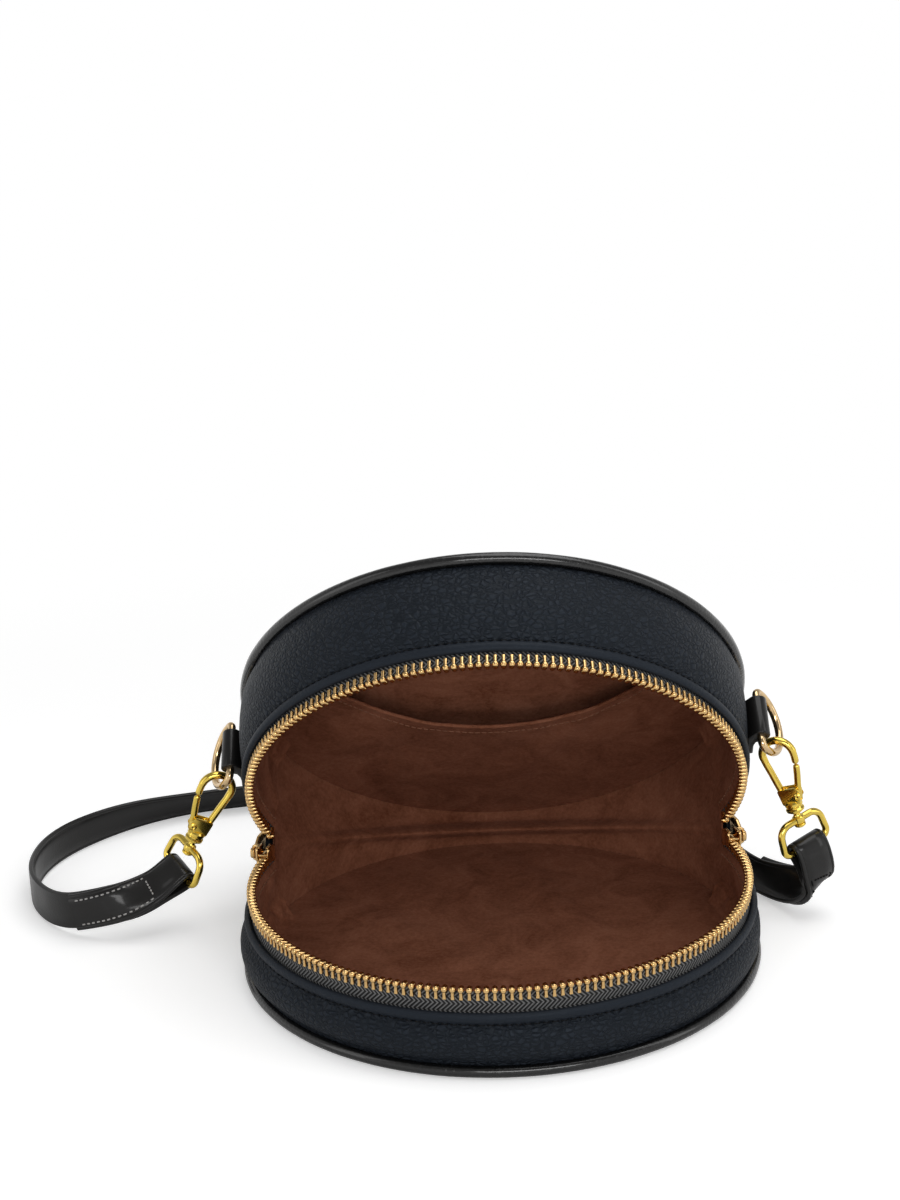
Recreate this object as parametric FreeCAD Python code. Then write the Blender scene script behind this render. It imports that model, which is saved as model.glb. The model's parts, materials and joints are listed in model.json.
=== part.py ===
"""Round clamshell shoulder bag, lying open on its front panel, with a clip-on leather strap.

All lengths are in millimetres and all angles in degrees. The origin is the centre of the front
panel's outer face, on the floor. +Z is up and the bag opens towards -Y. The zip runs round the
front of the bag, from one end of the hinge line to the other.
"""
import FreeCAD
import Part
import math
import os

V = FreeCAD.Vector
X_AXIS = V(1, 0, 0)
Z_AXIS = V(0, 0, 1)

# The whole bag.
bag_radius = 95.0
front_depth = 33.0
back_depth = 46.0
hinge_to_back = 64.0
open_angle = 50.0

# Layers of the panels and of the walls.
piping_radius = 2.0
panel_leather = 1.6
panel_board = 1.6
lining = 1.0
wall_leather = 2.0
wall_board = 1.0
wall_lining = 0.8
layer_gap = 0.1
panel_inset = 2.2
lining_inset = 4.0
piping_lift = 0.3
piping_clear = 0.2
board_below_tape = 1.0
lining_below_edge = 1.0
base_thick = 1.6
base_end_turn = 0.35
fold_share_of_gap = 0.8
pocket_mouth = 29.0
pocket_scoop = 87.0
pocket_gap = 3.0

# The zip.
tooth_pitch = 2.8
tooth_width = 1.5
tooth_thick = 2.6
tooth_height = 4.8
tooth_slot = 3.0
tooth_tip_share = 0.7
tooth_tip_height = 1.2
row_gap = 1.4
tape_thick = 0.8
tape_hidden = 6.0
edge_below_zip = 8.6
zip_end_gap = 1.0
stop_length = 1.2
stop_clear = 1.0
zip_inset = 2.5

# Sliders and pulls.
slider_length = 7.0
slider_width = 6.6
slider_plate = 1.0
slider_room = 0.5
slider_tail_share = 0.72
slider_shoulder_share = 0.2
post_thick = 1.0
post_length = 2.6
post_back = 3.2
bail_rise = 1.9
bail_radius = 0.8
bail_half = 2.8
bail_leg = 1.8
bail_leg_thick = 1.0
bail_clear = 0.2
pull_length = 26.0
pull_width = 8.0
pull_thick = 1.6
pull_eye = 1.9
pull_neck = 2.1
pull_neck_length = 3.4
pull_shoulder = 6.5
pull_corner = 2.0
pull_hole = 1.6
pull_hole_back = 5.0

# Ring tabs and D-rings.
tab_width = 16.0
tab_ply = 1.7
tongue_thick = 2.6
tab_length = 13.0
tab_standoff = 2.0
tab_lift = 23.5
tab_left_forward = 33.0
tab_right_forward = 43.0
ring_wire = 1.5
ring_clear = 0.3
ring_half = 12.0
ring_leg = 4.0
ring_corner = 2.5
ring_left_hang = 60.0
ring_right_hang = 56.0
hook_on_ring = 49.0

# Clasps: a hook with a spring gate that swivels on a strap loop.
hook_thick = 3.2
bow_centre = 24.0
bow_inner = 4.6
bow_outer = 7.5
nose_end = 19.0
nose_taper = 0.2
arm_root = 1.9
arm_sink = 2.0
collar_radius = 3.6
collar_height = 4.2
plate_top = 10.0
plate_half = 4.4
plate_thick = 4.2
plate_sink = 0.4
slot_wall = 0.9
gate_x = 3.0
gate_z = 6.6
gate_tip = 20.8
gate_thick = 1.9
gate_clear = 0.2
gate_gap = 0.1
gate_tip_width = 1.5
gate_shoulder = 0.5
gate_shoulder_drop = 1.5
knuckle_radius = 1.3
pin_radius = 0.9
rivet_radius = 1.4
rivet_height = 0.6
spring_radius = 0.75
spring_bore = 0.45
spring_length = 2.2
spring_start = -0.85
spring_drop = 1.5
post_radius = 1.3
post_clear = 0.2
head_radius = 1.9
head_height = 1.4
head_seat = 1.6
head_clear = 0.3
boss_radius = 2.4
boss_gap = 0.3
loop_wire = 1.4
loop_half = 10.8
loop_top = 3.6
loop_bar = 15.0
loop_corner = 2.8
wire_in_bow = 25.6
clasp_left_axis = V(-0.45, 0.05, -0.89)
clasp_right_axis = V(0.29, 0.0, -0.957)
loop_left_bar = V(0.58, -0.74, -0.34)
loop_right_bar = V(0.82, 0.51, 0.25)

# The strap stands on its edge on the floor and passes behind the bag.
strap_width = 15.0
strap_thick = 2.2
fold_inner = 1.6
lap_length = 46.0
lap_settle = 12.0
lap_fade = 40.0
left_lead = 14.0
right_lead = 14.0
corner_share = 0.45
corner_steps = 6
twist_length = 46.0
strap_z = 8.2
strap_left_way = V(-0.95, -0.10, -0.30)
strap_right_way = V(0.40, -0.25, -0.85)
# Each point of the route has its lift above the strap's height on the floor.
strap_floor_route = [
    (-153, 19.5, 5.8), (-175, 27, 0), (-192, 57, 0), (-190, 95, 0), (-167, 122, 0), (-135, 138, 0),
    (-95, 146, 0), (-40, 148, 0), (25, 136, 0), (70, 100, 0), (92, 66, 0), (103, 40, 0), (117, 24, 1.6),
]

hinge_back = bag_radius - hinge_to_back
zip_radius = bag_radius - zip_inset
wall_inner = bag_radius - wall_leather
wall_base = 2 * piping_radius + piping_lift + piping_clear
lining_outer = wall_inner - wall_board - 2 * layer_gap
lining_inner = lining_outer - wall_lining
hinge_point = V(0, hinge_back, front_depth)
wall_end = 90 + math.degrees(math.asin((hinge_back - zip_end_gap) / bag_radius))
floor_lining = panel_leather + panel_board + lining


def on_circle(radius, angle, z):
    """Point at an angle from the front of the bag, turning towards +X."""
    a = math.radians(angle)
    return V(radius * math.sin(a), -radius * math.cos(a), z)


def sector(inner, outer, bottom, top, half_angle):
    """Part of a round wall, centred on the front of the bag."""
    start = -90 - half_angle
    shell = Part.makeCylinder(outer, top - bottom, V(0, 0, bottom), Z_AXIS, 2 * half_angle)
    shell = shell.cut(Part.makeCylinder(inner, top - bottom, V(0, 0, bottom), Z_AXIS))
    shell.rotate(V(0, 0, 0), Z_AXIS, start)
    return shell


def prism(points, along):
    """Straight solid on a flat outline."""
    return Part.Face(Part.makePolygon(points + [points[0]])).extrude(along)


def opened(shape):
    """Turn a piece of the back half from the closed bag to the open one."""
    turned = shape.copy()
    turned.rotate(hinge_point, V(-1, 0, 0), open_angle)
    return turned


def opened_point(p, angle=open_angle):
    """Turn a point about the hinge line."""
    forward = hinge_back - p.y
    rise = p.z - front_depth
    c = math.cos(math.radians(angle))
    s = math.sin(math.radians(angle))
    return V(p.x, hinge_back - (forward * c - rise * s), front_depth + forward * s + rise * c)


def opened_way(d):
    """Turn a direction with the back half."""
    return opened_point(hinge_point + d) - hinge_point


def as_back(shape):
    """Place a piece made for a half that lies on the floor on the back half."""
    flipped = shape.mirror(V(0, 0, 0), Z_AXIS)
    flipped.translate(V(0, 0, front_depth + back_depth))
    return opened(flipped)


def tooth_profile(zip_z, radius, width):
    """Clip over the edge of the tape, tapering to its tip."""
    tip = zip_z - row_gap / 2
    root = tip - tooth_height
    half = tooth_thick / 2
    slot = tape_thick / 2 + layer_gap
    outline = [
        (-half, root), (-slot, root), (-slot, root + tooth_slot), (slot, root + tooth_slot),
        (slot, root), (half, root), (half, tip - tooth_tip_height), (tooth_tip_share * half, tip),
        (-tooth_tip_share * half, tip), (-half, tip - tooth_tip_height),
    ]
    points = [V(-width / 2, -radius + r, z) for r, z in outline]
    return prism(points, V(width, 0, 0))


def zip_angles(shift):
    """Angles of the teeth of one row; the two rows are half a pitch apart."""
    step = math.degrees(tooth_pitch / zip_radius)
    last = wall_end - math.degrees((2 * stop_length + stop_clear) / zip_radius)
    count = int(last / step)
    return [(i + shift) * step for i in range(-count, count) if abs((i + shift) * step) < last]


def zip_row(zip_z, shift):
    tooth = tooth_profile(zip_z, zip_radius, tooth_width)
    row = []
    for angle in zip_angles(shift):
        one = tooth.copy()
        one.rotate(V(0, 0, 0), Z_AXIS, angle)
        row.append(one)
    return Part.makeCompound(row)


def zip_stops(zip_z):
    stop = tooth_profile(zip_z, zip_radius, stop_length)
    pair = []
    for side in (-1, 1):
        one = stop.copy()
        one.rotate(V(0, 0, 0), Z_AXIS, side * (wall_end - math.degrees(stop_length / zip_radius)))
        pair.append(one)
    return Part.makeCompound(pair)


def half_pieces(depth, shift):
    """One half of the bag, lying on its panel."""
    edge = depth - edge_below_zip
    tape_low = edge - tape_hidden
    tape_top = depth - row_gap / 2 - tooth_height + tooth_slot - layer_gap
    board_radius = bag_radius - lining_inset
    tape_outer = zip_radius + tape_thick / 2
    return {
        "panel": Part.makeCylinder(bag_radius - panel_inset, panel_leather),
        "panel_board": Part.makeCylinder(board_radius, panel_board, V(0, 0, panel_leather)),
        "panel_lining": Part.makeCylinder(board_radius, lining, V(0, 0, panel_leather + panel_board)),
        "piping": Part.makeTorus(bag_radius, piping_radius, V(0, 0, piping_radius + piping_lift)),
        "gusset": sector(wall_inner, bag_radius, wall_base, edge, wall_end),
        "gusset_board": sector(lining_outer + layer_gap, wall_inner - layer_gap, wall_base,
                               tape_low - board_below_tape, wall_end),
        "gusset_lining": sector(lining_inner, lining_outer, floor_lining + layer_gap,
                                edge - lining_below_edge, wall_end),
        "zip_tape": sector(tape_outer - tape_thick, tape_outer, tape_low, tape_top, wall_end),
        "zip_teeth": zip_row(depth, shift),
        "zip_stops": zip_stops(depth),
    }


def slip_pocket():
    """Inner pocket on the back panel, with a scooped mouth towards the top of the bag."""
    sheet = Part.makeCylinder(lining_inner - pocket_gap, lining, V(0, 0, floor_lining + layer_gap))
    mouth = V(0, hinge_back - pocket_mouth - pocket_scoop, 0)
    return sheet.cut(Part.makeCylinder(pocket_scoop, front_depth, mouth))


# The soft base strip bends across a narrow band, which runs from the hinge line to the middle of the gap.
fold_low = on_circle(bag_radius, 180, wall_base)
fold_high = opened_point(on_circle(bag_radius, 180, front_depth + back_depth - wall_base))
fold_centre = (fold_low + fold_high) * 0.5
fold_line = fold_centre - hinge_point
fold_rise = V(0, -fold_line.z, fold_line.y).normalize()
fold_band = fold_share_of_gap * (fold_high - fold_low).dot(fold_rise)


def fold_share(p):
    """0 on the front half's side of the fold, 1 on the back half's side."""
    t = (p - fold_centre).dot(fold_rise) / fold_band + 0.5
    t = min(1.0, max(0.0, t))
    return t * t * (3 - 2 * t)


def folded(p):
    """Where a point of the closed bag's base lies when the bag is open."""
    low = 0.0
    high = open_angle
    for _ in range(40):
        middle = (low + high) / 2
        if fold_share(opened_point(p, middle)) * open_angle > middle:
            low = middle
        else:
            high = middle
    return opened_point(p, (low + high) / 2)


def flat_faced(rows):
    """Closed solid of flat triangles on rings of points, one ring per station."""
    n = len(rows[0])
    triangles = []
    for a, b in zip(rows, rows[1:]):
        for i in range(n):
            j = (i + 1) % n
            triangles.append((a[i], a[j], b[j]))
            triangles.append((a[i], b[j], b[i]))
    for ring, turn in ((rows[0], 1), (rows[-1], -1)):
        for i in range(n // 2 - 1):
            quad = (ring[i], ring[n - 1 - i], ring[n - 2 - i], ring[i + 1])
            triangles.append((quad[0], quad[1], quad[2])[::turn])
            triangles.append((quad[0], quad[2], quad[3])[::turn])
    shell = Part.makeShell([Part.Face(Part.makePolygon([a, b, c, a])) for a, b, c in triangles])
    shell.sewShape()
    solid = Part.makeSolid(shell)
    if solid.Volume < 0:
        solid.reverse()
    return solid


def base_strip(outer, inner, low, high, steps=10, stations=15):
    """Soft strip between the two panels, behind the zip ends."""
    reach = 180 - wall_end - base_end_turn
    rows = []
    for k in range(stations):
        angle = 180 - reach + 2 * reach * k / (stations - 1)
        heights = [low + (high - low) * i / steps for i in range(steps + 1)]
        ring = [folded(on_circle(outer, angle, z)) for z in heights]
        ring += [folded(on_circle(inner, angle, z)) for z in reversed(heights)]
        rows.append(ring)
    return flat_faced(rows)


def on_wall(shape, angle):
    """Place a piece made at the front of the zip at another angle."""
    placed = shape.copy()
    placed.rotate(V(0, 0, 0), Z_AXIS, angle)
    return placed


slider_angle = wall_end - math.degrees((2 * stop_length + stop_clear + slider_length / 2) / zip_radius)
slider_outer = zip_radius + tooth_thick / 2 + slider_room
slider_inner = zip_radius - tooth_thick / 2 - slider_room
bail_centre = slider_outer + slider_plate + bail_rise


def slider_plate_at(radius, z):
    """Flat plate of the slider, wider at its mouth."""
    half = slider_width / 2
    nose = slider_length / 2
    tail = slider_tail_share * half
    shoulder = slider_shoulder_share * nose
    upper = [(nose, half), (-shoulder, half), (-nose, tail)]
    outline = upper + [(x, -w) for x, w in reversed(upper)]
    points = [V(x, -radius, z + w) for x, w in outline]
    return prism(points, V(0, -slider_plate, 0))


def slider():
    """Slider at the front of the zip with its mouth towards +X."""
    z = front_depth
    body = slider_plate_at(slider_outer, z)
    body = body.fuse(slider_plate_at(slider_inner - slider_plate, z))
    nose = slider_length / 2
    post = Part.makeBox(post_length, slider_outer - slider_inner + 2 * layer_gap, post_thick,
                        V(nose - post_back, -slider_outer - layer_gap, z - post_thick / 2))
    body = body.fuse(post)
    for side in (-1, 1):
        foot = V(-bail_leg / 2, -bail_centre - bail_radius, z + side * bail_half - bail_leg_thick / 2)
        leg = Part.makeBox(bail_leg, bail_rise + bail_radius + layer_gap, bail_leg_thick, foot)
        body = body.fuse(leg)
    bar = Part.makeCylinder(bail_radius, 2 * bail_half, V(0, -bail_centre, z - bail_half), Z_AXIS)
    return body.fuse(bar).removeSplitter()


def pull():
    """Pull tab on the slider's bail, lying along the zip away from the mouth."""
    z = front_depth
    eye = Part.makeCylinder(pull_eye, 2 * pull_neck, V(0, -bail_centre, z - pull_neck), Z_AXIS)
    half = pull_width / 2
    end = -pull_length
    upper = [(0, pull_neck), (-pull_neck_length, pull_neck), (-pull_shoulder, half),
             (end + pull_corner, half), (end, half - pull_corner)]
    outline = upper + [(x, -w) for x, w in reversed(upper)]
    points = [V(x, -bail_centre + pull_thick / 2, z + w) for x, w in outline]
    tab = prism(points, V(0, -pull_thick, 0))
    hole = Part.makeCylinder(pull_hole, 2 * pull_thick, V(end + pull_hole_back, -bail_centre + pull_thick, z),
                             V(0, -1, 0))
    bore = Part.makeCylinder(bail_radius + bail_clear, pull_width, V(0, -bail_centre, z - half), Z_AXIS)
    return tab.fuse(eye).cut(hole).cut(bore)


tab_bore = ring_wire + ring_clear
tab_outer = tab_bore + tab_ply
tab_centre = bag_radius + layer_gap + tab_standoff + tab_outer
left_tab_angle = -90 - math.degrees(math.asin((hinge_back - tab_left_forward) / bag_radius))
right_tab_angle = 90 + math.degrees(math.asin((hinge_back - tab_right_forward) / bag_radius))


def ring_tab(angle, side):
    """Doubled leather tongue sewn to the back wall, with the D-ring's bar in its fold."""
    z = front_depth + tab_lift
    span = math.degrees(tab_length / bag_radius)
    low = z - tab_width / 2
    inner = bag_radius + layer_gap
    tongue = sector(inner, inner + tongue_thick, low, low + tab_width, span / 2)
    tongue.rotate(V(0, 0, 0), Z_AXIS, side * span / 2)
    barrel = Part.makeCylinder(tab_outer, tab_width, V(0, -tab_centre, low), Z_AXIS)
    bore = Part.makeCylinder(tab_bore, 2 * tab_width, V(0, -tab_centre, low - tab_width / 2), Z_AXIS)
    tab = tongue.fuse(barrel).cut(bore)
    return opened(on_wall(tab, angle))


depth_way = opened_way(Z_AXIS)
forward_way = opened_way(V(0, -1, 0))


def rod(points, corner, radius, closed):
    """Round wire along straight runs joined by arcs of one radius."""
    runs = []
    n = len(points)
    first = 0 if closed else 1
    cuts = {}
    for i in range(first, n if closed else n - 1):
        before = (points[i - 1] - points[i]).normalize()
        after = (points[(i + 1) % n] - points[i]).normalize()
        half = before.getAngle(after) / 2
        back = corner / math.tan(half)
        middle = (before + after).normalize() * (corner / math.sin(half) - corner)
        cuts[i] = (points[i] + before * back, points[i] + middle, points[i] + after * back)
    for i in range(n if closed else n - 1):
        j = (i + 1) % n
        a = cuts[i][2] if i in cuts else points[i]
        b = cuts[j][0] if j in cuts else points[j]
        if (b - a).Length > 1e-6:
            runs.append(Part.makeLine(a, b))
        if j in cuts:
            runs.append(Part.Arc(*cuts[j]).toShape())
    start = runs[0].Vertexes[0].Point
    way = runs[0].tangentAt(runs[0].FirstParameter)
    disc = Part.Wire(Part.makeCircle(radius, start, way))
    return Part.Wire(runs).makePipeShell([disc], True, False)


def ring_frame(angle, hang, side):
    """Centre of the D-ring's bar and the way its bow hangs."""
    centre = opened_point(on_circle(tab_centre, angle, front_depth + tab_lift))
    h = math.radians(hang)
    return centre, X_AXIS * (side * math.cos(h)) - forward_way * math.sin(h)


def d_ring(frame):
    """D-ring: a bar with two short legs and a half-round bow."""
    centre, hang = frame
    wide = depth_way

    def at(along, out):
        return centre + wide * along + hang * out

    cut = ring_half - ring_corner
    bend = ring_corner * (1 - math.sqrt(0.5))
    edges = [
        Part.makeLine(at(-cut, 0), at(cut, 0)),
        Part.Arc(at(cut, 0), at(ring_half - bend, bend), at(ring_half, ring_corner)).toShape(),
        Part.makeLine(at(ring_half, ring_corner), at(ring_half, ring_leg)),
        Part.Arc(at(ring_half, ring_leg), at(0, ring_leg + ring_half), at(-ring_half, ring_leg)).toShape(),
        Part.makeLine(at(-ring_half, ring_leg), at(-ring_half, ring_corner)),
        Part.Arc(at(-ring_half, ring_corner), at(bend - ring_half, bend), at(-cut, 0)).toShape(),
    ]
    disc = Part.Wire(Part.makeCircle(ring_wire, at(-cut, 0), wide))
    return Part.Wire(edges).makePipeShell([disc], True, False)


def clasp_frame(ring, axis, side):
    """Swivel point of the clasp, its upward axis and the hook's sideways axis, gate outwards."""
    centre, hang = ring
    up = V(axis.x, axis.y, axis.z).normalize() * -1
    s = math.sin(math.radians(hook_on_ring))
    c = math.cos(math.radians(hook_on_ring))
    wire = centre - depth_way * (ring_half * s) + hang * (ring_leg + ring_half * c)
    face = square_to(depth_way * c + hang * s, up)
    return wire - up * wire_in_bow, up, face.cross(up).normalize() * side


def placed(shape, origin, up, right):
    """Move a piece from the clasp's own axes (x right, z up) to the bag."""
    y = up.cross(right)
    m = FreeCAD.Matrix(right.x, y.x, up.x, origin.x, right.y, y.y, up.y, origin.y,
                       right.z, y.z, up.z, origin.z, 0, 0, 0, 1)
    moved = shape.copy()
    moved.Placement = FreeCAD.Placement(m)
    return moved


def hook():
    """Hook with a round bow, a fixed arm, a plate for the gate and a swivel collar."""
    half = hook_thick / 2
    c = bow_centre
    arm_low = plate_top - arm_sink
    nose_out = bow_outer - nose_taper

    def at(x, z):
        return V(x, -half, z)

    edges = [
        Part.makeLine(at(-plate_half, arm_low), at(-bow_outer, c)),
        Part.Arc(at(-bow_outer, c), at(0, c + bow_outer), at(bow_outer, c)).toShape(),
        Part.makeLine(at(bow_outer, c), at(nose_out, nose_end)),
        Part.makeLine(at(nose_out, nose_end), at(bow_inner, nose_end)),
        Part.makeLine(at(bow_inner, nose_end), at(bow_inner, c)),
        Part.Arc(at(bow_inner, c), at(0, c + bow_inner), at(-bow_inner, c)).toShape(),
        Part.makeLine(at(-bow_inner, c), at(-arm_root, plate_top)),
        Part.makeLine(at(-arm_root, plate_top), at(-arm_root, arm_low)),
        Part.makeLine(at(-arm_root, arm_low), at(-plate_half, arm_low)),
    ]
    arm = Part.Face(Part.Wire(edges)).extrude(V(0, hook_thick, 0))
    plate_low = collar_height - plate_sink
    plate = Part.makeBox(2 * plate_half, plate_thick, plate_top - plate_low,
                         V(-plate_half, -plate_thick / 2, plate_low))
    body = arm.fuse(plate).fuse(Part.makeCylinder(collar_radius, collar_height))
    gate_slot = gate_thick + gate_clear
    slot = Part.makeBox(2 * plate_half, gate_slot, plate_top,
                        V(-slot_wall, -gate_slot / 2, collar_height + plate_sink))
    body = body.cut(slot)
    post_foot = V(0, 0, head_seat - collar_height)
    body = body.cut(Part.makeCylinder(post_radius + post_clear, collar_height, post_foot))
    body = body.cut(Part.makeCylinder(head_radius + head_clear, head_height + 2 * head_clear,
                                      V(0, 0, head_seat - head_clear)))
    return body.cut(pin_rod(pin_radius, 2 * plate_thick))


def pin_rod(radius, length):
    """Round rod on the gate's pivot, square to the hook's plate."""
    return Part.makeCylinder(radius, length, V(gate_x, -length / 2, gate_z), V(0, 1, 0))


def gate():
    """Spring gate that closes against the inside of the hook's nose."""
    half = gate_thick / 2
    tip = bow_inner - gate_gap
    outline = [(gate_x - knuckle_radius, gate_z), (gate_x + knuckle_radius, gate_z), (tip, gate_tip),
               (tip - gate_tip_width, gate_tip),
               (tip - gate_tip_width - gate_shoulder, gate_tip - gate_shoulder_drop)]
    blade = prism([V(x, -half, z) for x, z in outline], V(0, gate_thick, 0))
    blade = blade.fuse(pin_rod(knuckle_radius, gate_thick))
    return blade.cut(pin_rod(pin_radius + gate_gap, 2 * plate_thick))


def gate_pin():
    """Rivet that the gate turns on."""
    reach = plate_thick / 2
    pin = pin_rod(pin_radius, plate_thick)
    for side in (-1, 1):
        head = Part.makeCylinder(rivet_radius, rivet_height, V(gate_x, side * reach, gate_z), V(0, side, 0))
        pin = pin.fuse(head)
    return pin


def gate_spring():
    """Small coil between the plate and the gate, as a tube of the coil's size."""
    start = V(spring_start, 0, plate_top - spring_drop)
    coil = Part.makeCylinder(spring_radius, spring_length, start, X_AXIS)
    return coil.cut(Part.makeCylinder(spring_bore, spring_length, start, X_AXIS))


def strap_loop():
    """Wire loop for the strap, on a headed post that turns in the hook's collar."""
    w = loop_half
    corners = [V(-w, 0, -loop_top), V(w, 0, -loop_top), V(w, 0, -loop_bar), V(-w, 0, -loop_bar)]
    loop = rod(corners, loop_corner, loop_wire, True)
    loop = loop.fuse(Part.makeCylinder(post_radius, loop_top + head_seat + layer_gap, V(0, 0, -loop_top)))
    loop = loop.fuse(Part.makeCylinder(head_radius, head_height, V(0, 0, head_seat)))
    return loop.fuse(Part.makeCylinder(boss_radius, loop_top - boss_gap, V(0, 0, -loop_top)))


def square_to(d, axis):
    """The part of a direction that is square to an axis, as a unit vector."""
    a = V(axis.x, axis.y, axis.z).normalize()
    return (d - a * d.dot(a)).normalize()


def rounded_route(points):
    """Points along straight runs joined by arcs, each as large as its two runs allow."""
    path = [points[0]]
    for i in range(1, len(points) - 1):
        before = points[i - 1] - points[i]
        after = points[i + 1] - points[i]
        run = corner_share * min(before.Length, after.Length)
        b = V(before.x, before.y, before.z).normalize()
        a = V(after.x, after.y, after.z).normalize()
        start = points[i] + b * run
        end = points[i] + a * run
        for k in range(corner_steps + 1):
            t = k / corner_steps
            path.append(start * (1 - t) ** 2 + points[i] * (2 * t * (1 - t)) + end * t ** 2)
    path.append(points[-1])
    return path


def strap_stations(start, start_bar, end, end_bar):
    """Centre, running way and width way of the strap along its route."""
    left = square_to(strap_left_way, start_bar)
    right = square_to(strap_right_way, end_bar)
    route = [start, start + left * left_lead]
    route += [V(x, y, strap_z + lift) for x, y, lift in strap_floor_route]
    route += [end + right * right_lead, end]
    path = rounded_route(route)
    stations = []
    run = 0.0
    total = sum((path[i + 1] - path[i]).Length for i in range(len(path) - 1))
    for i, p in enumerate(path):
        if i:
            run += (p - path[i - 1]).Length
        a = path[max(0, i - 1)]
        b = path[min(len(path) - 1, i + 1)]
        way = (b - a).normalize()
        s = min(1.0, run / twist_length)
        e = min(1.0, (total - run) / twist_length)
        s = s * s * (3 - 2 * s)
        e = e * e * (3 - 2 * e)
        wide = V(0, 0, -1) * (s * e) + start_bar * (1 - s) - end_bar * (1 - e)
        stations.append((p, way, square_to(wide, way), run, total - run))
    return stations


def ply_gap(run):
    """Distance of each ply from the middle: round the loop's bar at the end, then close together."""
    t = min(1.0, run / lap_settle)
    t = t * t * (3 - 2 * t)
    wide = fold_inner + strap_thick / 2
    return wide + (strap_thick / 2 + layer_gap - wide) * t


def ribbon(stations, offset):
    """Flat strip along stations, moved off the middle by offset(station)."""
    wires = []
    for s in stations:
        p, way, wide, _, _ = s
        face = way.cross(wide).normalize()
        middle = p + face * offset(s)
        w = wide * (strap_width / 2)
        t = face * (strap_thick / 2)
        wires.append(Part.makePolygon([middle - w - t, middle + w - t, middle + w + t,
                                       middle - w + t, middle - w - t]))
    return Part.makeLoft(wires, True, True)


def strap_offset(s):
    """The strap's own ply lies behind the middle at its ends and on it elsewhere."""
    near = min(s[3], s[4])
    fade = min(1.0, max(0.0, (near - lap_length) / lap_fade))
    return -ply_gap(near) * (1 - fade)


def fold_round(bar_centre, way, wide):
    """Half-round fold of the strap about the loop's bar."""
    face = way.cross(wide).normalize()
    foot = bar_centre - wide * (strap_width / 2)
    outer = Part.makeCylinder(fold_inner + strap_thick, strap_width, foot, wide)
    inner = Part.makeCylinder(fold_inner, strap_width, foot, wide)
    side = strap_width
    corner = bar_centre - wide * side - face * side
    cut = prism([corner, corner + wide * 2 * side, corner + wide * 2 * side + face * 2 * side,
                 corner + face * 2 * side], way * side)
    return outer.cut(inner).cut(cut)


left_ring = ring_frame(left_tab_angle, ring_left_hang, -1)
right_ring = ring_frame(right_tab_angle, ring_right_hang, 1)
left_clasp = clasp_frame(left_ring, clasp_left_axis, -1)
right_clasp = clasp_frame(right_ring, clasp_right_axis, 1)
left_bar = square_to(loop_left_bar, left_clasp[1])
right_bar = square_to(loop_right_bar, right_clasp[1])
left_eye = left_clasp[0] - left_clasp[1] * loop_bar
right_eye = right_clasp[0] - right_clasp[1] * loop_bar
stations = strap_stations(left_eye, left_bar, right_eye, right_bar)


def clasp_pieces(side, clasp, bar):
    origin, up, right = clasp
    return {
        "clasp_hook_" + side: placed(hook(), origin, up, right),
        "clasp_gate_" + side: placed(gate(), origin, up, right),
        "gate_pin_" + side: placed(gate_pin(), origin, up, right),
        "gate_spring_" + side: placed(gate_spring(), origin, up, right),
        "strap_loop_" + side: placed(strap_loop(), origin, up, bar),
    }


def strap_pieces():
    first = stations[0]
    last = stations[-1]
    strap = Part.makeCompound([
        ribbon(stations, strap_offset),
        fold_round(first[0], first[1], first[2]),
        fold_round(last[0], last[1] * -1, last[2]),
    ])
    left_lap = [s for s in stations if s[3] <= lap_length]
    right_lap = [s for s in stations if s[4] <= lap_length]
    return {
        "shoulder_strap": strap,
        "strap_lap_left": ribbon(left_lap, lambda s: ply_gap(s[3])),
        "strap_lap_right": ribbon(right_lap, lambda s: ply_gap(s[4])),
    }


def all_pieces():
    pieces = {}
    for name, shape in half_pieces(front_depth, 0.0).items():
        pieces["front_" + name] = shape
    for name, shape in half_pieces(back_depth, 0.5).items():
        pieces["back_" + name] = as_back(shape)
    pieces["slip_pocket"] = as_back(slip_pocket())
    top = front_depth + back_depth
    pieces["base_gusset"] = base_strip(bag_radius, bag_radius - base_thick, wall_base, top - wall_base)
    pieces["base_lining"] = base_strip(lining_outer, lining_inner, wall_base, top - wall_base)
    right_slider = slider().mirror(V(0, 0, 0), X_AXIS)
    right_pull = pull().mirror(V(0, 0, 0), X_AXIS)
    pieces["slider_left"] = on_wall(slider(), -slider_angle)
    pieces["pull_left"] = on_wall(pull(), -slider_angle)
    pieces["slider_right"] = on_wall(right_slider, slider_angle)
    pieces["pull_right"] = on_wall(right_pull, slider_angle)
    pieces["ring_tab_left"] = ring_tab(left_tab_angle, -1)
    pieces["ring_tab_right"] = ring_tab(right_tab_angle, 1)
    pieces["d_ring_left"] = d_ring(left_ring)
    pieces["d_ring_right"] = d_ring(right_ring)
    pieces.update(clasp_pieces("left", left_clasp, left_bar))
    pieces.update(clasp_pieces("right", right_clasp, right_bar))
    pieces.update(strap_pieces())
    return pieces


os.makedirs("parts", exist_ok=True)
for piece_name, piece in all_pieces().items():
    piece.exportStep("parts/" + piece_name + ".step")
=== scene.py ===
# %% [markdown]
# # A round zip bag, lying open
#
# The real bag is two shallow leather drums, joined by a soft strip at the back and by a zip that runs three
# fifths of the way round. Here it lies unzipped on its front panel, with a strap clipped to two rings.
#
# A solid model of it already exists. It is right in its sizes and in how it moves, but its leather is stiff
# and its edges are sharp. One could sculpt over it by hand. This lesson writes each surface as a formula
# instead, so that a changed size changes all that hangs on it. Lengths are in millimetres until a mesh is
# made.

import json
import math
import bmesh
import bpy
from mathutils import Matrix, Vector, noise


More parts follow.
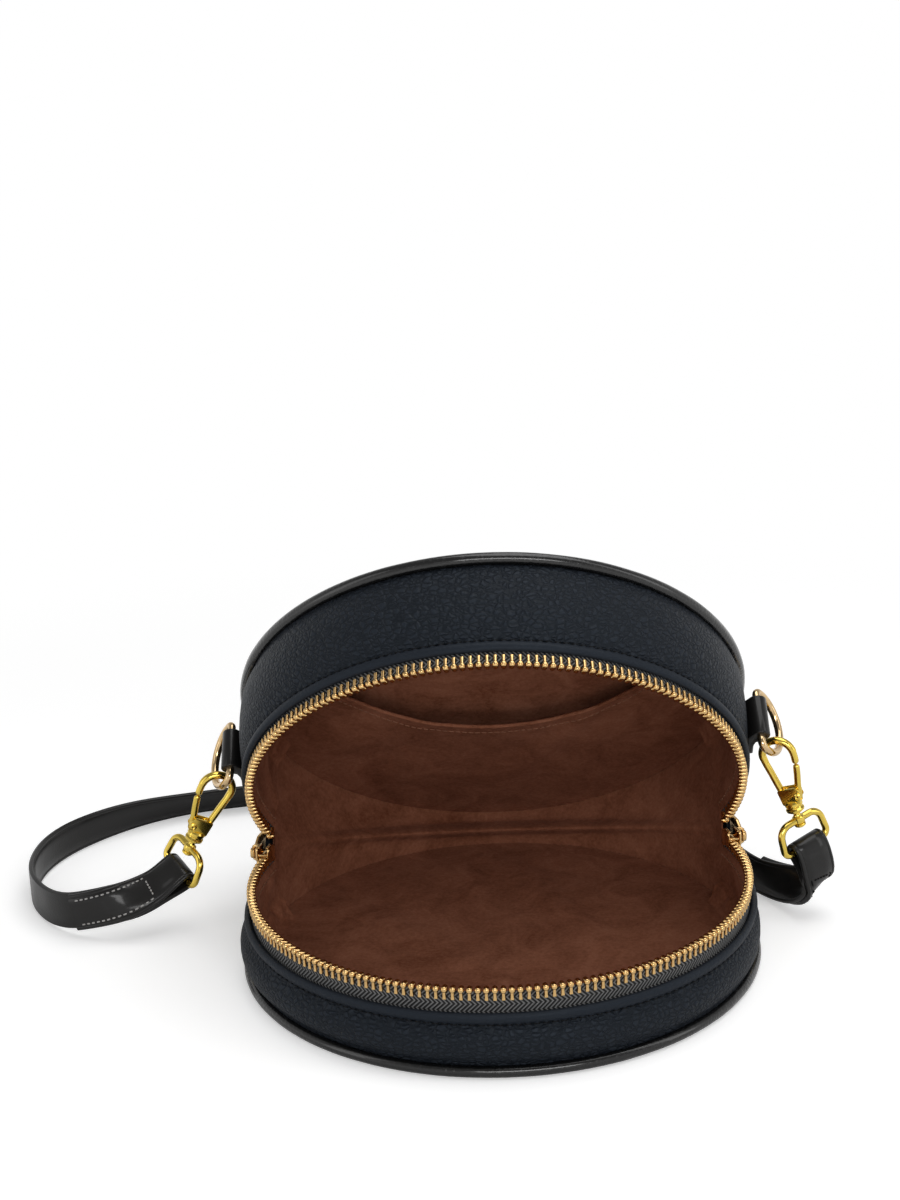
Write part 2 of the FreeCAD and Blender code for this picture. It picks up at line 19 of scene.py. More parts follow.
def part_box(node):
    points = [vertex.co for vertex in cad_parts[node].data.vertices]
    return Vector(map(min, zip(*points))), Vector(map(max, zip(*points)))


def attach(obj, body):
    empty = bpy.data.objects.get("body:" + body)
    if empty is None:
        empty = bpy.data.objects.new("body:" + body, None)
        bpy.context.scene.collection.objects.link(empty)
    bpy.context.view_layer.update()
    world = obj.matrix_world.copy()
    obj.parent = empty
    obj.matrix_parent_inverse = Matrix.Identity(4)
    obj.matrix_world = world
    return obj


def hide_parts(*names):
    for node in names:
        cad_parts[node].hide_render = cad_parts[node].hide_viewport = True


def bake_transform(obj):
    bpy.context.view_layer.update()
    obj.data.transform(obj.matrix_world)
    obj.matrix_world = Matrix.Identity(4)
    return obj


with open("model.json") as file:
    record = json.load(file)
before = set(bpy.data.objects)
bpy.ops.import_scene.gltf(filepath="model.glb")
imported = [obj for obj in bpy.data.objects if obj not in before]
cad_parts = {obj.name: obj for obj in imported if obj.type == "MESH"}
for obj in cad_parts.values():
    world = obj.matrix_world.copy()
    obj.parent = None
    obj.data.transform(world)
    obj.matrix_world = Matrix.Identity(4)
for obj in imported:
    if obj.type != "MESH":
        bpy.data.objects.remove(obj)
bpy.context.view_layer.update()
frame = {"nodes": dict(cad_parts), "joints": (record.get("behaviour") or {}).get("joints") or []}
joint = {j["name"]: j for j in frame["joints"]}

# %% [markdown]
# ## Sizes
#
# A bag maker works from a few sizes: the radius, the depth of each half, the hinge line and how far the
# bag stands open. They could be typed in again here, but then the two models could drift apart. So the
# hinge, the angle and the radius are read from the solid model, and each of the rest is written once.

# %% Sizes of the bag
MM = 0.001
MICRON = MM / 1000
HINGE = Vector(joint["opening"]["pos_m"]) / MM
OPEN_ANGLE = -joint["opening"]["range_deg"][0]
BAG_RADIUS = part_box("front_gusset")[1].x / MM
DEPTH = {"front": HINGE.z, "back": 46.0}
ZIP_END_GAP = 1.0
WALL_END = 90 + math.degrees(math.asin((HINGE.y - ZIP_END_GAP) / BAG_RADIUS))
WALL_THICK = 2.0
WALL_BASE = 4.5
EDGE_BELOW_ZIP = {"front": 9.6, "back": 6.2}
SEAM_BELOW_EDGE = 4.2
STITCH_PITCH = 3.1
PIPING_RADIUS = {"front": 2.0, "back": 2.4}
PIPING_HEIGHT = 2.3
LINING_RADIUS = 91.0
FLOOR_LINING = 4.3
ZIP_RADIUS = BAG_RADIUS - 2.5
SIDES = {"left": -1, "right": 1}
HALVES = ("front", "back")
SEAM_DEPTH = {half: DEPTH[half] - EDGE_BELOW_ZIP[half] - SEAM_BELOW_EDGE for half in HALVES}
print("radius", round(BAG_RADIUS, 1), "hinge", [round(v, 1) for v in HINGE], "opened", OPEN_ANGLE)

# %% [markdown]
# ## Points of the two halves
#
# On the bench each half of the bag would lie on its own panel. One could model the back half where it is,
# tilted, with awkward coordinates. It is easier to draw both halves lying down, as circles and depths,
# and to let one function turn the back half over and swing it about the hinge line.


# %% Points of the two halves
def on_circle(radius, angle, height):
    """A point at an angle from the front of the bag, turning towards +X."""
    a = math.radians(angle)
    return Vector((radius * math.sin(a), -radius * math.cos(a), height))


def opened(point, angle=OPEN_ANGLE):
    """A point of the closed bag's back half after it has swung open by an angle."""
    c = math.cos(math.radians(angle))
    s = math.sin(math.radians(angle))
    forward = HINGE.y - point.y
    rise = point.z - HINGE.z
    return Vector((point.x, HINGE.y - forward * c + rise * s, HINGE.z + forward * s + rise * c))


def seat(half, point):
    """Move a point of a half that lies on its panel to its place on the bag."""
    if half == "front":
        return point
    return opened(Vector((point.x, point.y, DEPTH["front"] + DEPTH["back"] - point.z)))


def half_point(half, radius, angle, depth):
    return seat(half, on_circle(radius, angle, depth))


def depth_way(half):
    """Direction in which a half's depth grows, from its panel to its zip."""
    return (half_point(half, 0, 0, 1) - half_point(half, 0, 0, 0)).normalized()


print("top of the back rim:", [round(v, 1) for v in half_point("back", BAG_RADIUS, 0, 0)])

# %% [markdown]
# ## Smooth numbers
#
# Leather and cloth never change abruptly: a fold fades in and a swelling dies away. Random numbers would
# give a rough surface, and a new one in each run. `wobble` is smooth noise that is the same every time,
# `ease` goes from 0 to 1 without a kink, and `spread` gives evenly spaced numbers.


# %% Smooth numbers
def wobble(x, y, z, size):
    """Smooth noise between about -1 and 1 that changes over a length."""
    return noise.noise(Vector((x, y, z)) / size)


def ease(t):
    t = min(1.0, max(0.0, t))
    return t * t * (3 - 2 * t)


def spread(first, last, count):
    """Evenly spaced numbers, both ends included."""
    return [first + (last - first) * i / (count - 1) for i in range(count)]


print("eased steps:", [round(ease(t), 3) for t in spread(0, 1, 5)])

# %% [markdown]
# ## Building meshes
#
# Nearly every piece of this bag is a skin over a row of rings: a rod is a row of circles, a leather wall
# a row of outlines, a rivet a stack of circles. Blender's own tools, such as curves with a bevel, could
# make some of them, but each would need its own settings and clean-up. A small class that collects
# corners and faces serves them all, and keeps every corner where a formula puts it.


# %% A shape of corners and faces
class Shape:
    """Corners and faces of one piece."""

    def __init__(self):
        self.verts = []
        self.faces = []

    def add(self, verts, faces, place=None):
        base = len(self.verts)
        self.verts += [place @ Vector(v) if place else Vector(v) for v in verts]
        self.faces += [tuple(base + i for i in face) for face in faces]
        return self

    def skin(self, rings, closed=False, capped=True, open_rings=False, place=None):
        """Faces between neighbouring rings of equal length."""
        n = len(rings[0])
        count = len(rings)
        faces = []
        for i in range(count if closed else count - 1):
            j = (i + 1) % count
            for k in range(n - 1 if open_rings else n):
                m = (k + 1) % n
                faces.append((i * n + k, i * n + m, j * n + m, j * n + k))
        if capped and not closed and not open_rings:
            faces.append(tuple(range(n)))
            faces.append(tuple((count - 1) * n + k for k in range(n)))
        return self.add([p for ring in rings for p in ring], faces, place)

    def tube(self, points, radius, sides=16, closed=False, flat=1.0, across=None, place=None):
        """Round or flattened rod along points; an open one has round ends."""
        return self.skin(tube_rings(points, radius, sides, closed, flat, across), closed, place=place)

    def turned(self, profile, sides=24, place=None):
        """Solid of revolution about the local Z axis, from (radius, height) pairs."""
        rings = []
        for radius, height in profile:
            turn = [2 * math.pi * k / sides for k in range(sides)]
            rings.append([Vector((radius * math.cos(a), radius * math.sin(a), height)) for a in turn])
        return self.skin(rings, place=place)

    def plate(self, outlines, thickness, bevel, place=None):
        """Flat plate in the local XY plane with rounded rims; later outlines are holes."""
        verts, faces = filled_outline(outlines, thickness, bevel)
        return self.add(verts, faces, place)

    def build(self, name, crease=40):
        """The finished object, in metres, smooth except at creases."""
        mesh = bpy.data.meshes.new(name)
        mesh.from_pydata([v * MM for v in self.verts], [], self.faces)
        work = bmesh.new()
        work.from_mesh(mesh)
        bmesh.ops.remove_doubles(work, verts=work.verts, dist=MICRON)
        bmesh.ops.recalc_face_normals(work, faces=work.faces)
        work.to_mesh(mesh)
        work.free()
        mesh.polygons.foreach_set("use_smooth", [True] * len(mesh.polygons))
        mesh.set_sharp_from_angle(angle=math.radians(crease))
        obj = bpy.data.objects.new(name, mesh)
        bpy.context.scene.collection.objects.link(obj)
        return obj


print("a shape can", ", ".join(name for name in vars(Shape) if not name.startswith("_")))

# %% [markdown]
# ## Flat plates with rounded rims
#
# Slider plates, pulls and the cheeks of a clasp are stamped from sheet metal, and stamping leaves soft
# rims. A plate could be a box with a bevel modifier, but holes are awkward there. A filled 2-D curve
# takes any outline, treats later outlines as holes and rounds its rims by itself. So such a curve is
# filled, turned into corners and faces, and thrown away.


# %% Flat plates with rounded rims
def filled_outline(outlines, thickness, bevel):
    """Corners and faces of a plate; outlines after the first are holes."""
    curve = bpy.data.curves.new("outline", "CURVE")
    curve.dimensions = "2D"
    curve.fill_mode = "BOTH"
    curve.extrude = thickness / 2 - bevel
    curve.bevel_depth = bevel
    curve.bevel_resolution = 2
    curve.offset = -bevel
    for outline in outlines:
        spline = curve.splines.new("POLY")
        spline.points.add(len(outline) - 1)
        for point, (x, y) in zip(spline.points, outline):
            point.co = (x, y, 0, 1)
        spline.use_cyclic_u = True
    holder = bpy.data.objects.new("outline", curve)
    mesh = bpy.data.meshes.new_from_object(holder)
    verts = [v.co.copy() for v in mesh.vertices]
    faces = [tuple(p.vertices) for p in mesh.polygons]
    bpy.data.objects.remove(holder)
    bpy.data.curves.remove(curve)
    bpy.data.meshes.remove(mesh)
    return verts, faces


print("a small plate has", len(filled_outline([[(0, 0), (4, 0), (4, 2), (0, 2)]], 1.0, 0.2)[1]), "faces")

# %% [markdown]
# ## Rods and wires
#
# Rings, hooks, piping and stitches are all rods that follow a path. If each circle took its own side
# direction, the rod would twist at every bend. So each circle takes over the last one's side direction
# and only squares it to the new way, which turns the rod as little as possible. Open rods end in half
# balls, as tumbled wire does.


# %% Rods and wires
def tube_rings(points, radius, sides, closed, flat, across):
    """Rings along a path, each square to it, turning as little as possible."""
    points = [Vector(p) for p in points]
    count = len(points)
    ways = []
    for i in range(count):
        before = points[i - 1] if closed or i else points[0]
        after = points[(i + 1) % count] if closed or i < count - 1 else points[-1]
        ways.append((after - before).normalized())
    radii = list(radius) if hasattr(radius, "__len__") else [radius] * count
    side = Vector(across) if across else ways[0].orthogonal()
    stations = []
    for point, way, size in zip(points, ways, radii):
        side = (side - way * side.dot(way)).normalized()
        stations.append((point, way, side.copy(), size))
    if not closed:
        stations = rounded_end(stations[0], -1)[::-1] + stations + rounded_end(stations[-1], 1)
    rings = []
    for point, way, side, size in stations:
        up = way.cross(side)
        turns = [2 * math.pi * k / sides for k in range(sides)]
        rings.append([point + (side * math.cos(a) + up * (math.sin(a) * flat)) * size for a in turns])
    return rings


def rounded_end(station, sign, steps=5):
    """Shrinking stations that close a rod with a half ball."""
    point, way, side, size = station
    ends = []
    for k in range(1, steps + 1):
        a = 0.5 * math.pi * k / (steps + 0.3)
        ends.append((point + way * (sign * size * math.sin(a)), way, side, size * math.cos(a)))
    return ends


print("a short rod has", len(tube_rings([(0, 0, 0), (0, 0, 5)], 1.0, 16, False, 1.0, None)), "rings")

# %% [markdown]
# ## Flat outlines
#
# Bent wire and stamped plates have round corners, of a size that the maker's tool gives. Typing the
# points of each corner would be long and hard to change. `arc` gives points on a circle, and `rounded`
# takes a few corners and the radius of each.


# %% Flat outlines
def arc(centre_x, centre_y, radius, start, end, steps):
    """Points on a circle between two angles in degrees."""
    turns = [math.radians(a) for a in spread(start, end, steps)]
    return [(centre_x + radius * math.cos(a), centre_y + radius * math.sin(a)) for a in turns]


def rounded(corners, radius, steps=5):
    """Closed flat outline with its corners rounded; a radius may differ from corner to corner."""
    outline = []
    count = len(corners)
    for i, corner in enumerate(corners):
        here = Vector(corner)
        before = (Vector(corners[i - 1]) - here).normalized()
        after = (Vector(corners[(i + 1) % count]) - here).normalized()
        size = radius[i] if hasattr(radius, "__len__") else radius
        half = before.angle(after) / 2
        reach = size / math.tan(half)
        start = here + before * reach
        end = here + after * reach
        middle = here + (before + after).normalized() * (size / math.sin(half))
        turn = math.pi - 2 * half
        for t in spread(0, 1, steps):
            way = (start - middle) * math.sin((1 - t) * turn) + (end - middle) * math.sin(t * turn)
            outline.append(tuple(middle + way / math.sin(turn)))
    return outline


print("a rounded square has", len(rounded([(0, 0), (9, 0), (9, 9), (0, 9)], 2)), "points")

# %% [markdown]
# ## Placing pieces
#
# A clasp is easiest to draw upright, at the origin. It could then be turned by angles, but directions are
# safer, because the joints of the solid model give directions. A matrix made of a piece's own X and Z
# ways puts it in its place. A stitch is the smallest piece that is placed by a direction: a short rod of
# thread.


# %% Placing pieces
def axes(origin, x_way, z_way):
    """Placement with given local X and Z directions."""
    y_way = z_way.cross(x_way)
    rows = [(x_way[i], y_way[i], z_way[i], origin[i]) for i in range(3)]
    return Matrix(rows + [(0, 0, 0, 1)])


def square_to(way, axis):
    """The part of a direction that is square to an axis."""
    return (way - axis * way.dot(axis)).normalized()


def stitch(shape, centre, along, length, radius):
    """One thread stitch, a short rod with round ends."""
    reach = along.normalized() * (length / 2 - radius)
    shape.tube([centre - reach, centre + reach], radius, sides=8)


print("a tilted way, squared:", [round(v, 2) for v in square_to(Vector((1, 0, 1)), Vector((0, 0, 1)))])

# %% [markdown]
# ## Shared effects
#
# Leather, cloth and metal differ in colour, yet several of them share an effect, such as fine pores or
# the nap of brushed cloth. Each effect could be drawn again in every material. A node group is drawn
# once, has named sockets, and is placed in each material with its own values. These helpers make groups
# and nodes.


# %% Helpers for node groups
def new_group(name, inputs, outputs):
    group = bpy.data.node_groups.new(name, "ShaderNodeTree")
    for label, kind, value in inputs:
        socket = group.interface.new_socket(label, in_out="INPUT", socket_type="NodeSocket" + kind)
        if value is not None:
            socket.default_value = value
    for label, kind in outputs:
        group.interface.new_socket(label, in_out="OUTPUT", socket_type="NodeSocket" + kind)
    return group, group.nodes.new("NodeGroupInput"), group.nodes.new("NodeGroupOutput")


def add_node(tree, kind, settings=None, **values):
    node = tree.nodes.new(kind)
    for key, value in (settings or {}).items():
        setattr(node, key, value)
    for key, value in values.items():
        node.inputs[key.replace("_", " ")].default_value = value
    return node


def math_node(tree, operation, first, second=None):
    """A math node; its inputs are numbers or sockets."""
    node = tree.nodes.new("ShaderNodeMath")
    node.operation = operation
    for slot, value in zip(node.inputs, (first, second)):
        if isinstance(value, (int, float)):
            slot.default_value = value
        elif value is not None:
            tree.links.new(value, slot)
    return node.outputs[0]


print("node groups so far:", len(bpy.data.node_groups))

# %% [markdown]
# ## Pebbled grain
#
# The walls' leather is pressed by rollers that raise small pebbles with creases between them. Real
# displacement would need millions of faces. Voronoi cells give the pebbles as a bump: the distance to a
# cell's edge is the height, a little noise bends the cells, and they are longer one way than the other,
# because pressed grain runs along the hide.


# %% Pebbled grain
def pebbled_grain():
    """Raised pebbles with creases between them."""
    group, start, end = new_group(
        "Pebbled grain",
        [("Coordinates", "Vector", None), ("Cells per metre", "Float", 560.0),
         ("Depth", "Float", 0.00034), ("Amount", "Float", 1.0)],
        [("Normal", "Vector"), ("Painted crease shade", "Float")],
    )
    link = group.links.new
    drawn = add_node(group, "ShaderNodeVectorMath", {"operation": "MULTIPLY"})
    drawn.inputs[1].default_value = (0.66, 0.66, 1.15)
    link(start.outputs["Coordinates"], drawn.inputs[0])
    warp = add_node(group, "ShaderNodeTexNoise", Scale=300.0, Detail=1.0)
    link(start.outputs["Coordinates"], warp.inputs["Vector"])
    bend = add_node(group, "ShaderNodeMix", {"data_type": "VECTOR"})
    bend.inputs["Factor"].default_value = 0.002
    link(drawn.outputs["Vector"], bend.inputs[4])
    link(warp.outputs["Color"], bend.inputs[5])
    cells = add_node(group, "ShaderNodeTexVoronoi", {"feature": "DISTANCE_TO_EDGE"})
    link(bend.outputs[1], cells.inputs["Vector"])
    link(start.outputs["Cells per metre"], cells.inputs["Scale"])
    ramp = add_node(group, "ShaderNodeMapRange", {"interpolation_type": "SMOOTHSTEP"})
    ramp.inputs["From Max"].default_value = 0.3
    link(cells.outputs["Distance"], ramp.inputs["Value"])
    fine = add_node(group, "ShaderNodeTexNoise", Scale=2600.0, Detail=3.0)
    link(start.outputs["Coordinates"], fine.inputs["Vector"])
    height = math_node(group, "ADD", ramp.outputs["Result"],
                       math_node(group, "MULTIPLY", fine.outputs["Fac"], 0.06))
    bump = add_node(group, "ShaderNodeBump")
    link(height, bump.inputs["Height"])
    link(start.outputs["Depth"], bump.inputs["Distance"])
    link(start.outputs["Amount"], bump.inputs["Strength"])
    link(bump.outputs["Normal"], end.inputs["Normal"])
    # This mask only darkens the colour in the creases: painted shade, where shadow falls between the
    # pebbles.
    link(math_node(group, "SUBTRACT", 1.0, ramp.outputs["Result"]), end.inputs["Painted crease shade"])
    return group


GRAIN = pebbled_grain()
print(GRAIN.name, "has", len(GRAIN.nodes), "nodes")

# %% [markdown]
# ## Fine pores
#
# Strap and piping are smooth finished leather, where only pores and a slow unevenness catch the light. A
# plain glossy shader looks like plastic. Small soft cells make the pores, and cloudy noise makes the
# polish uneven.


# %% Fine pores
def fine_pores():
    """Fine pores and slow unevenness of smooth finished leather."""
    group, start, end = new_group(
        "Fine pores",
        [("Coordinates", "Vector", None), ("Pores per metre", "Float", 1400.0), ("Depth", "Float", 0.0001)],
        [("Normal", "Vector"), ("Cloud", "Float")],
    )
    link = group.links.new
    pores = add_node(group, "ShaderNodeTexVoronoi", {"feature": "SMOOTH_F1"}, Smoothness=0.6)
    link(start.outputs["Coordinates"], pores.inputs["Vector"])
    link(start.outputs["Pores per metre"], pores.inputs["Scale"])
    cloud = add_node(group, "ShaderNodeTexNoise", Scale=90.0, Detail=4.0)
    link(start.outputs["Coordinates"], cloud.inputs["Vector"])
    height = math_node(group, "ADD", pores.outputs["Distance"], cloud.outputs["Fac"])
    bump = add_node(group, "ShaderNodeBump", Strength=0.6)
    link(height, bump.inputs["Height"])
    link(start.outputs["Depth"], bump.inputs["Distance"])
    link(bump.outputs["Normal"], end.inputs["Normal"])
    link(cloud.outputs["Fac"], end.inputs["Cloud"])
    return group


PORES = fine_pores()
print(PORES.name, "has", len(PORES.nodes), "nodes")

# %% [markdown]
# ## Brushed fibres
#
# The lining is a suede-like cloth with a short nap. Hair particles could make the nap, but they are slow
# and can't be exported. Very fine noise as a bump gives the fibres, and broad noise the paler and darker
# strokes that a hand leaves.


# %% Brushed fibres
def brushed_fibres():
    """Short nap of a suede-like cloth, darker where it was stroked the other way."""
    group, start, end = new_group(
        "Brushed fibres",
        [("Coordinates", "Vector", None), ("Depth", "Float", 0.00012)],
        [("Normal", "Vector"), ("Stroke", "Float")],
    )
    link = group.links.new
    nap = add_node(group, "ShaderNodeTexNoise", Scale=2200.0, Detail=4.0, Roughness=0.7)
    stroke = add_node(group, "ShaderNodeTexNoise", Scale=48.0, Detail=8.0, Roughness=0.72, Distortion=0.8)
    for node in (nap, stroke):
        link(start.outputs["Coordinates"], node.inputs["Vector"])
    bump = add_node(group, "ShaderNodeBump", Strength=0.8)
    link(nap.outputs["Fac"], bump.inputs["Height"])
    link(start.outputs["Depth"], bump.inputs["Distance"])
    link(bump.outputs["Normal"], end.inputs["Normal"])
    clear = add_node(group, "ShaderNodeMapRange", From_Min=0.3, From_Max=0.7)
    link(stroke.outputs["Fac"], clear.inputs["Value"])
    hairs = add_node(group, "ShaderNodeTexNoise", Scale=700.0, Detail=3.0, Roughness=0.7)
    link(start.outputs["Coordinates"], hairs.inputs["Vector"])
    speckle = add_node(group, "ShaderNodeMapRange", From_Min=0.35, From_Max=0.75)
    link(hairs.outputs["Fac"], speckle.inputs["Value"])
    mixed = math_node(group, "MULTIPLY", clear.outputs["Result"], 0.65)
    flecks = math_node(group, "MULTIPLY", speckle.outputs["Result"], 0.35)
    link(math_node(group, "ADD", mixed, flecks), end.inputs["Stroke"])
    return group


FIBRES = brushed_fibres()
print(FIBRES.name, "has", len(FIBRES.nodes), "nodes")

# %% [markdown]
# ## Woven tape
#
# A zip's tape is woven in a herringbone, with slanted threads that turn back in bands. An image of it
# would blur when seen close. A sine wave across a zigzag is enough, and because it reads a surface map in
# metres, the threads keep their real size all the way round.


# %% Woven tape
def woven_tape():
    """Herringbone weave from a surface map in metres."""
    group, start, end = new_group(
        "Woven tape",
        [("Map", "Vector", None), ("Thread", "Float", 0.0016), ("Band", "Float", 0.0026),
         ("Depth", "Float", 0.0003)],
        [("Normal", "Vector"), ("Thread", "Float")],
    )
    link = group.links.new
    split = add_node(group, "ShaderNodeSeparateXYZ")
    link(start.outputs["Map"], split.inputs[0])
    zigzag = math_node(group, "PINGPONG", split.outputs["Y"], start.outputs["Band"])
    slant = math_node(group, "ADD", split.outputs["X"], zigzag)
    turns = math_node(group, "DIVIDE", slant, start.outputs["Thread"])
    wave = math_node(group, "SINE", math_node(group, "MULTIPLY", turns, 2 * math.pi))
    height = math_node(group, "ADD", math_node(group, "MULTIPLY", wave, 0.5), 0.5)
    bump = add_node(group, "ShaderNodeBump")
    link(height, bump.inputs["Height"])
    link(start.outputs["Depth"], bump.inputs["Distance"])
    link(bump.outputs["Normal"], end.inputs["Normal"])
    # The crests of the threads, as a mask for a painted highlight on the raised threads.
    link(math_node(group, "POWER", height, 2.2), end.inputs["Thread"])
    return group


WEAVE = woven_tape()
print(WEAVE.name, "has", len(WEAVE.nodes), "nodes")

# %% [markdown]
# ## Small scuffs
#
# Plated metal is handled all day, so its polish is never even. Scratches could be drawn one by one. Slow
# noise in the roughness and a trace of fine bump read as marks of handling, and the mirror shine stays.


# %% Small scuffs
def small_scuffs():
    """Slow and fine changes of polish on metal."""
    group, start, end = new_group(
        "Small scuffs",
        [("Coordinates", "Vector", None), ("Polish", "Float", 0.1), ("Wear", "Float", 0.1)],
        [("Roughness", "Float"), ("Normal", "Vector")],
    )
    link = group.links.new
    slow = add_node(group, "ShaderNodeTexNoise", Scale=160.0, Detail=3.0)
    fine = add_node(group, "ShaderNodeTexNoise", Scale=1800.0, Detail=2.0)
    for node in (slow, fine):
        link(start.outputs["Coordinates"], node.inputs["Vector"])
    worn = math_node(group, "MULTIPLY", slow.outputs["Fac"], start.outputs["Wear"])
    link(math_node(group, "ADD", worn, start.outputs["Polish"]), end.inputs["Roughness"])
    bump = add_node(group, "ShaderNodeBump", Strength=0.03, Distance=0.00002)
    link(fine.outputs["Fac"], bump.inputs["Height"])
    link(bump.outputs["Normal"], end.inputs["Normal"])
    return group


SCUFFS = small_scuffs()
print("effects:", sorted(g.name for g in bpy.data.node_groups))

# %% [markdown]
# ## Materials
#
# A finish is one Principled shader with its few constant values, and a shared effect that changes over
# the surface. It could be clicked together in the node editor. Small functions do the same, and keep a
# finish's colours and its effect side by side, where they can be read.


# %% Helpers for materials
def new_material(name, colour, roughness, **sockets):
    material = bpy.data.materials.new(name)
    material.use_nodes = True
    shader = material.node_tree.nodes["Principled BSDF"]
    shader.inputs["Base Color"].default_value = (*colour, 1)
    shader.inputs["Roughness"].default_value = roughness
    for label, value in sockets.items():
        shader.inputs[label.replace("_", " ")].default_value = value
    return material, material.node_tree, shader


def use_group(tree, group, coordinates, output="Object", **values):
    """A group node fed with texture coordinates."""
    node = tree.nodes.new("ShaderNodeGroup")
    node.node_tree = group
    place = tree.nodes.new("ShaderNodeTexCoord")
    tree.links.new(place.outputs[output], node.inputs[coordinates])
    for label, value in values.items():
        node.inputs[label.replace("_", " ")].default_value = value
    return node


def two_tone(tree, factor, dark, light):
    """Mix of two colours by a factor socket."""
    mix = tree.nodes.new("ShaderNodeMix")
    mix.data_type = "RGBA"
    mix.inputs[6].default_value = (*dark, 1)
    mix.inputs[7].default_value = (*light, 1)
    tree.links.new(factor, mix.inputs["Factor"])
    return mix.outputs[2]


print("materials so far:", len(bpy.data.materials))

# %% [markdown]
# ## Finish of the walls
#
# The walls are a blue-black leather with a dull top coat. One flat colour would look like paint. So the
# creases of the grain get a deeper tone, painted shade for the shadow that falls into them, and the
# pebbles stay paler. A number that is stored at each corner, called grain, lets the pebbles and their
# painted shade fade where the leather is pressed flat in a fold.


# %% Finish of the walls
def pebbled_leather():
    material, tree, shader = new_material("pebbled leather", (0.008, 0.010, 0.014), 0.5,
                                          Specular_IOR_Level=0.16)
    shader.inputs["Specular Tint"].default_value = (0.8, 0.9, 1.0, 1)
    grain = use_group(tree, GRAIN, "Coordinates")
    amount = tree.nodes.new("ShaderNodeAttribute")
    amount.attribute_name = "grain"
    tree.links.new(amount.outputs["Fac"], grain.inputs["Amount"])
    tree.links.new(grain.outputs["Normal"], shader.inputs["Normal"])
    # Painted shade: the creases get the darker blue-black and the pebbles the paler one, less where grain is
    # weak.
    line = math_node(tree, "MULTIPLY", grain.outputs["Painted crease shade"], amount.outputs["Fac"])
    colour = two_tone(tree, line, (0.0135, 0.017, 0.0235), (0.0065, 0.0083, 0.0115))
    tree.links.new(colour, shader.inputs["Base Color"])
    return material


LOOKS = {"pebbled_leather": pebbled_leather()}
print("finishes:", list(LOOKS))

# %% [markdown]
# ## Finish of strap and piping
#
# Strap, tabs and piping are smooth leather with a clear polish over the dye. A single glossy layer looks
# either dull or wet. A clear coat over a rougher base gives a soft body and a sharp highlight together,
# and the pores break up the gloss.

# %% Finish of strap and piping
POLISH_SPREAD = 0.2


def smooth_leather(name, colour, roughness, pores, depth, coat, coat_roughness):
    material, tree, shader = new_material(name, colour, roughness, Coat_Weight=coat,
                                          Coat_Roughness=coat_roughness, Specular_IOR_Level=0.18)
    skin = use_group(tree, PORES, "Coordinates", Pores_per_metre=pores, Depth=depth)
    tree.links.new(skin.outputs["Normal"], shader.inputs["Normal"])
    worn = math_node(tree, "MULTIPLY_ADD", skin.outputs["Cloud"], POLISH_SPREAD)
    worn.node.inputs[2].default_value = roughness - POLISH_SPREAD / 2
    tree.links.new(worn, shader.inputs["Roughness"])
    return material


LOOKS["piping_leather"] = smooth_leather("piping leather", (0.0035, 0.0033, 0.0032), 0.28, pores=900.0,
                                         depth=0.00035, coat=0.9, coat_roughness=0.12)
LOOKS["strap_leather"] = smooth_leather("strap leather", (0.008, 0.0074, 0.007), 0.42, pores=1700.0,
                                        depth=0.00006, coat=0.4, coat_roughness=0.12)
print("finishes:", list(LOOKS))

# %% [markdown]
# ## Finish of the lining
#
# The lining is brown, soft to the touch, and paler where it was stroked. Velvet shaders make too much of
# that. A rough shader with a trace of sheen, and two browns mixed by the stroke of the nap, stays quiet.


# %% Finish of the lining
def lining_cloth():
    material, tree, shader = new_material("lining", (0.12, 0.036, 0.016), 0.95, Sheen_Weight=0.06,
                                          Sheen_Roughness=0.5, Specular_IOR_Level=0.1)
    shader.inputs["Sheen Tint"].default_value = (0.9, 0.5, 0.35, 1)
    nap = use_group(tree, FIBRES, "Coordinates")
    tree.links.new(nap.outputs["Normal"], shader.inputs["Normal"])
    colour = two_tone(tree, nap.outputs["Stroke"], (0.12, 0.034, 0.014), (0.36, 0.15, 0.088))
    tree.links.new(colour, shader.inputs["Base Color"])
    return material


LOOKS["lining"] = lining_cloth()
print("finishes:", list(LOOKS))

# %% [markdown]
# ## Finish of the zip tape
# The tape is nearly black, and the raised threads of its weave catch the light. Its colour could be one
# dark grey with a bump, but from a step away only that light on the threads shows. So the weave drives
# both the bump and a mix of two greys, which paints the crests paler: a painted highlight on a real weave.


# %% Finish of the zip tape
def tape_cloth():
    material, tree, shader = new_material("zip tape", (0.02, 0.02, 0.022), 0.7, Specular_IOR_Level=0.35)
    weave = use_group(tree, WEAVE, "Map", output="UV")
    tree.links.new(weave.outputs["Normal"], shader.inputs["Normal"])
    # Painted highlight: the crests of the threads get the pale grey, the hollows between them the dark one.
    colour = two_tone(tree, weave.outputs["Thread"], (0.004, 0.004, 0.0045), (0.19, 0.19, 0.19))
    tree.links.new(colour, shader.inputs["Base Color"])
    return material


LOOKS["zip_tape"] = tape_cloth()
print("finishes:", list(LOOKS))

# %% [markdown]
# ## Metals
#
# The teeth are a warm brass, the rings a pale gold and the clasps a yellower plating. One gold for all
# would be simpler, but side by side the three differ. Metal takes its brightness from what it mirrors, so
# only colour and polish are set here, and the scuffs make the polish uneven.


# %% Metals
def polished(name, colour, polish, wear):
    material, tree, shader = new_material(name, colour, polish, Metallic=1.0)
    scuffs = use_group(tree, SCUFFS, "Coordinates", Polish=polish, Wear=wear)
    tree.links.new(scuffs.outputs["Roughness"], shader.inputs["Roughness"])
    tree.links.new(scuffs.outputs["Normal"], shader.inputs["Normal"])
    return material


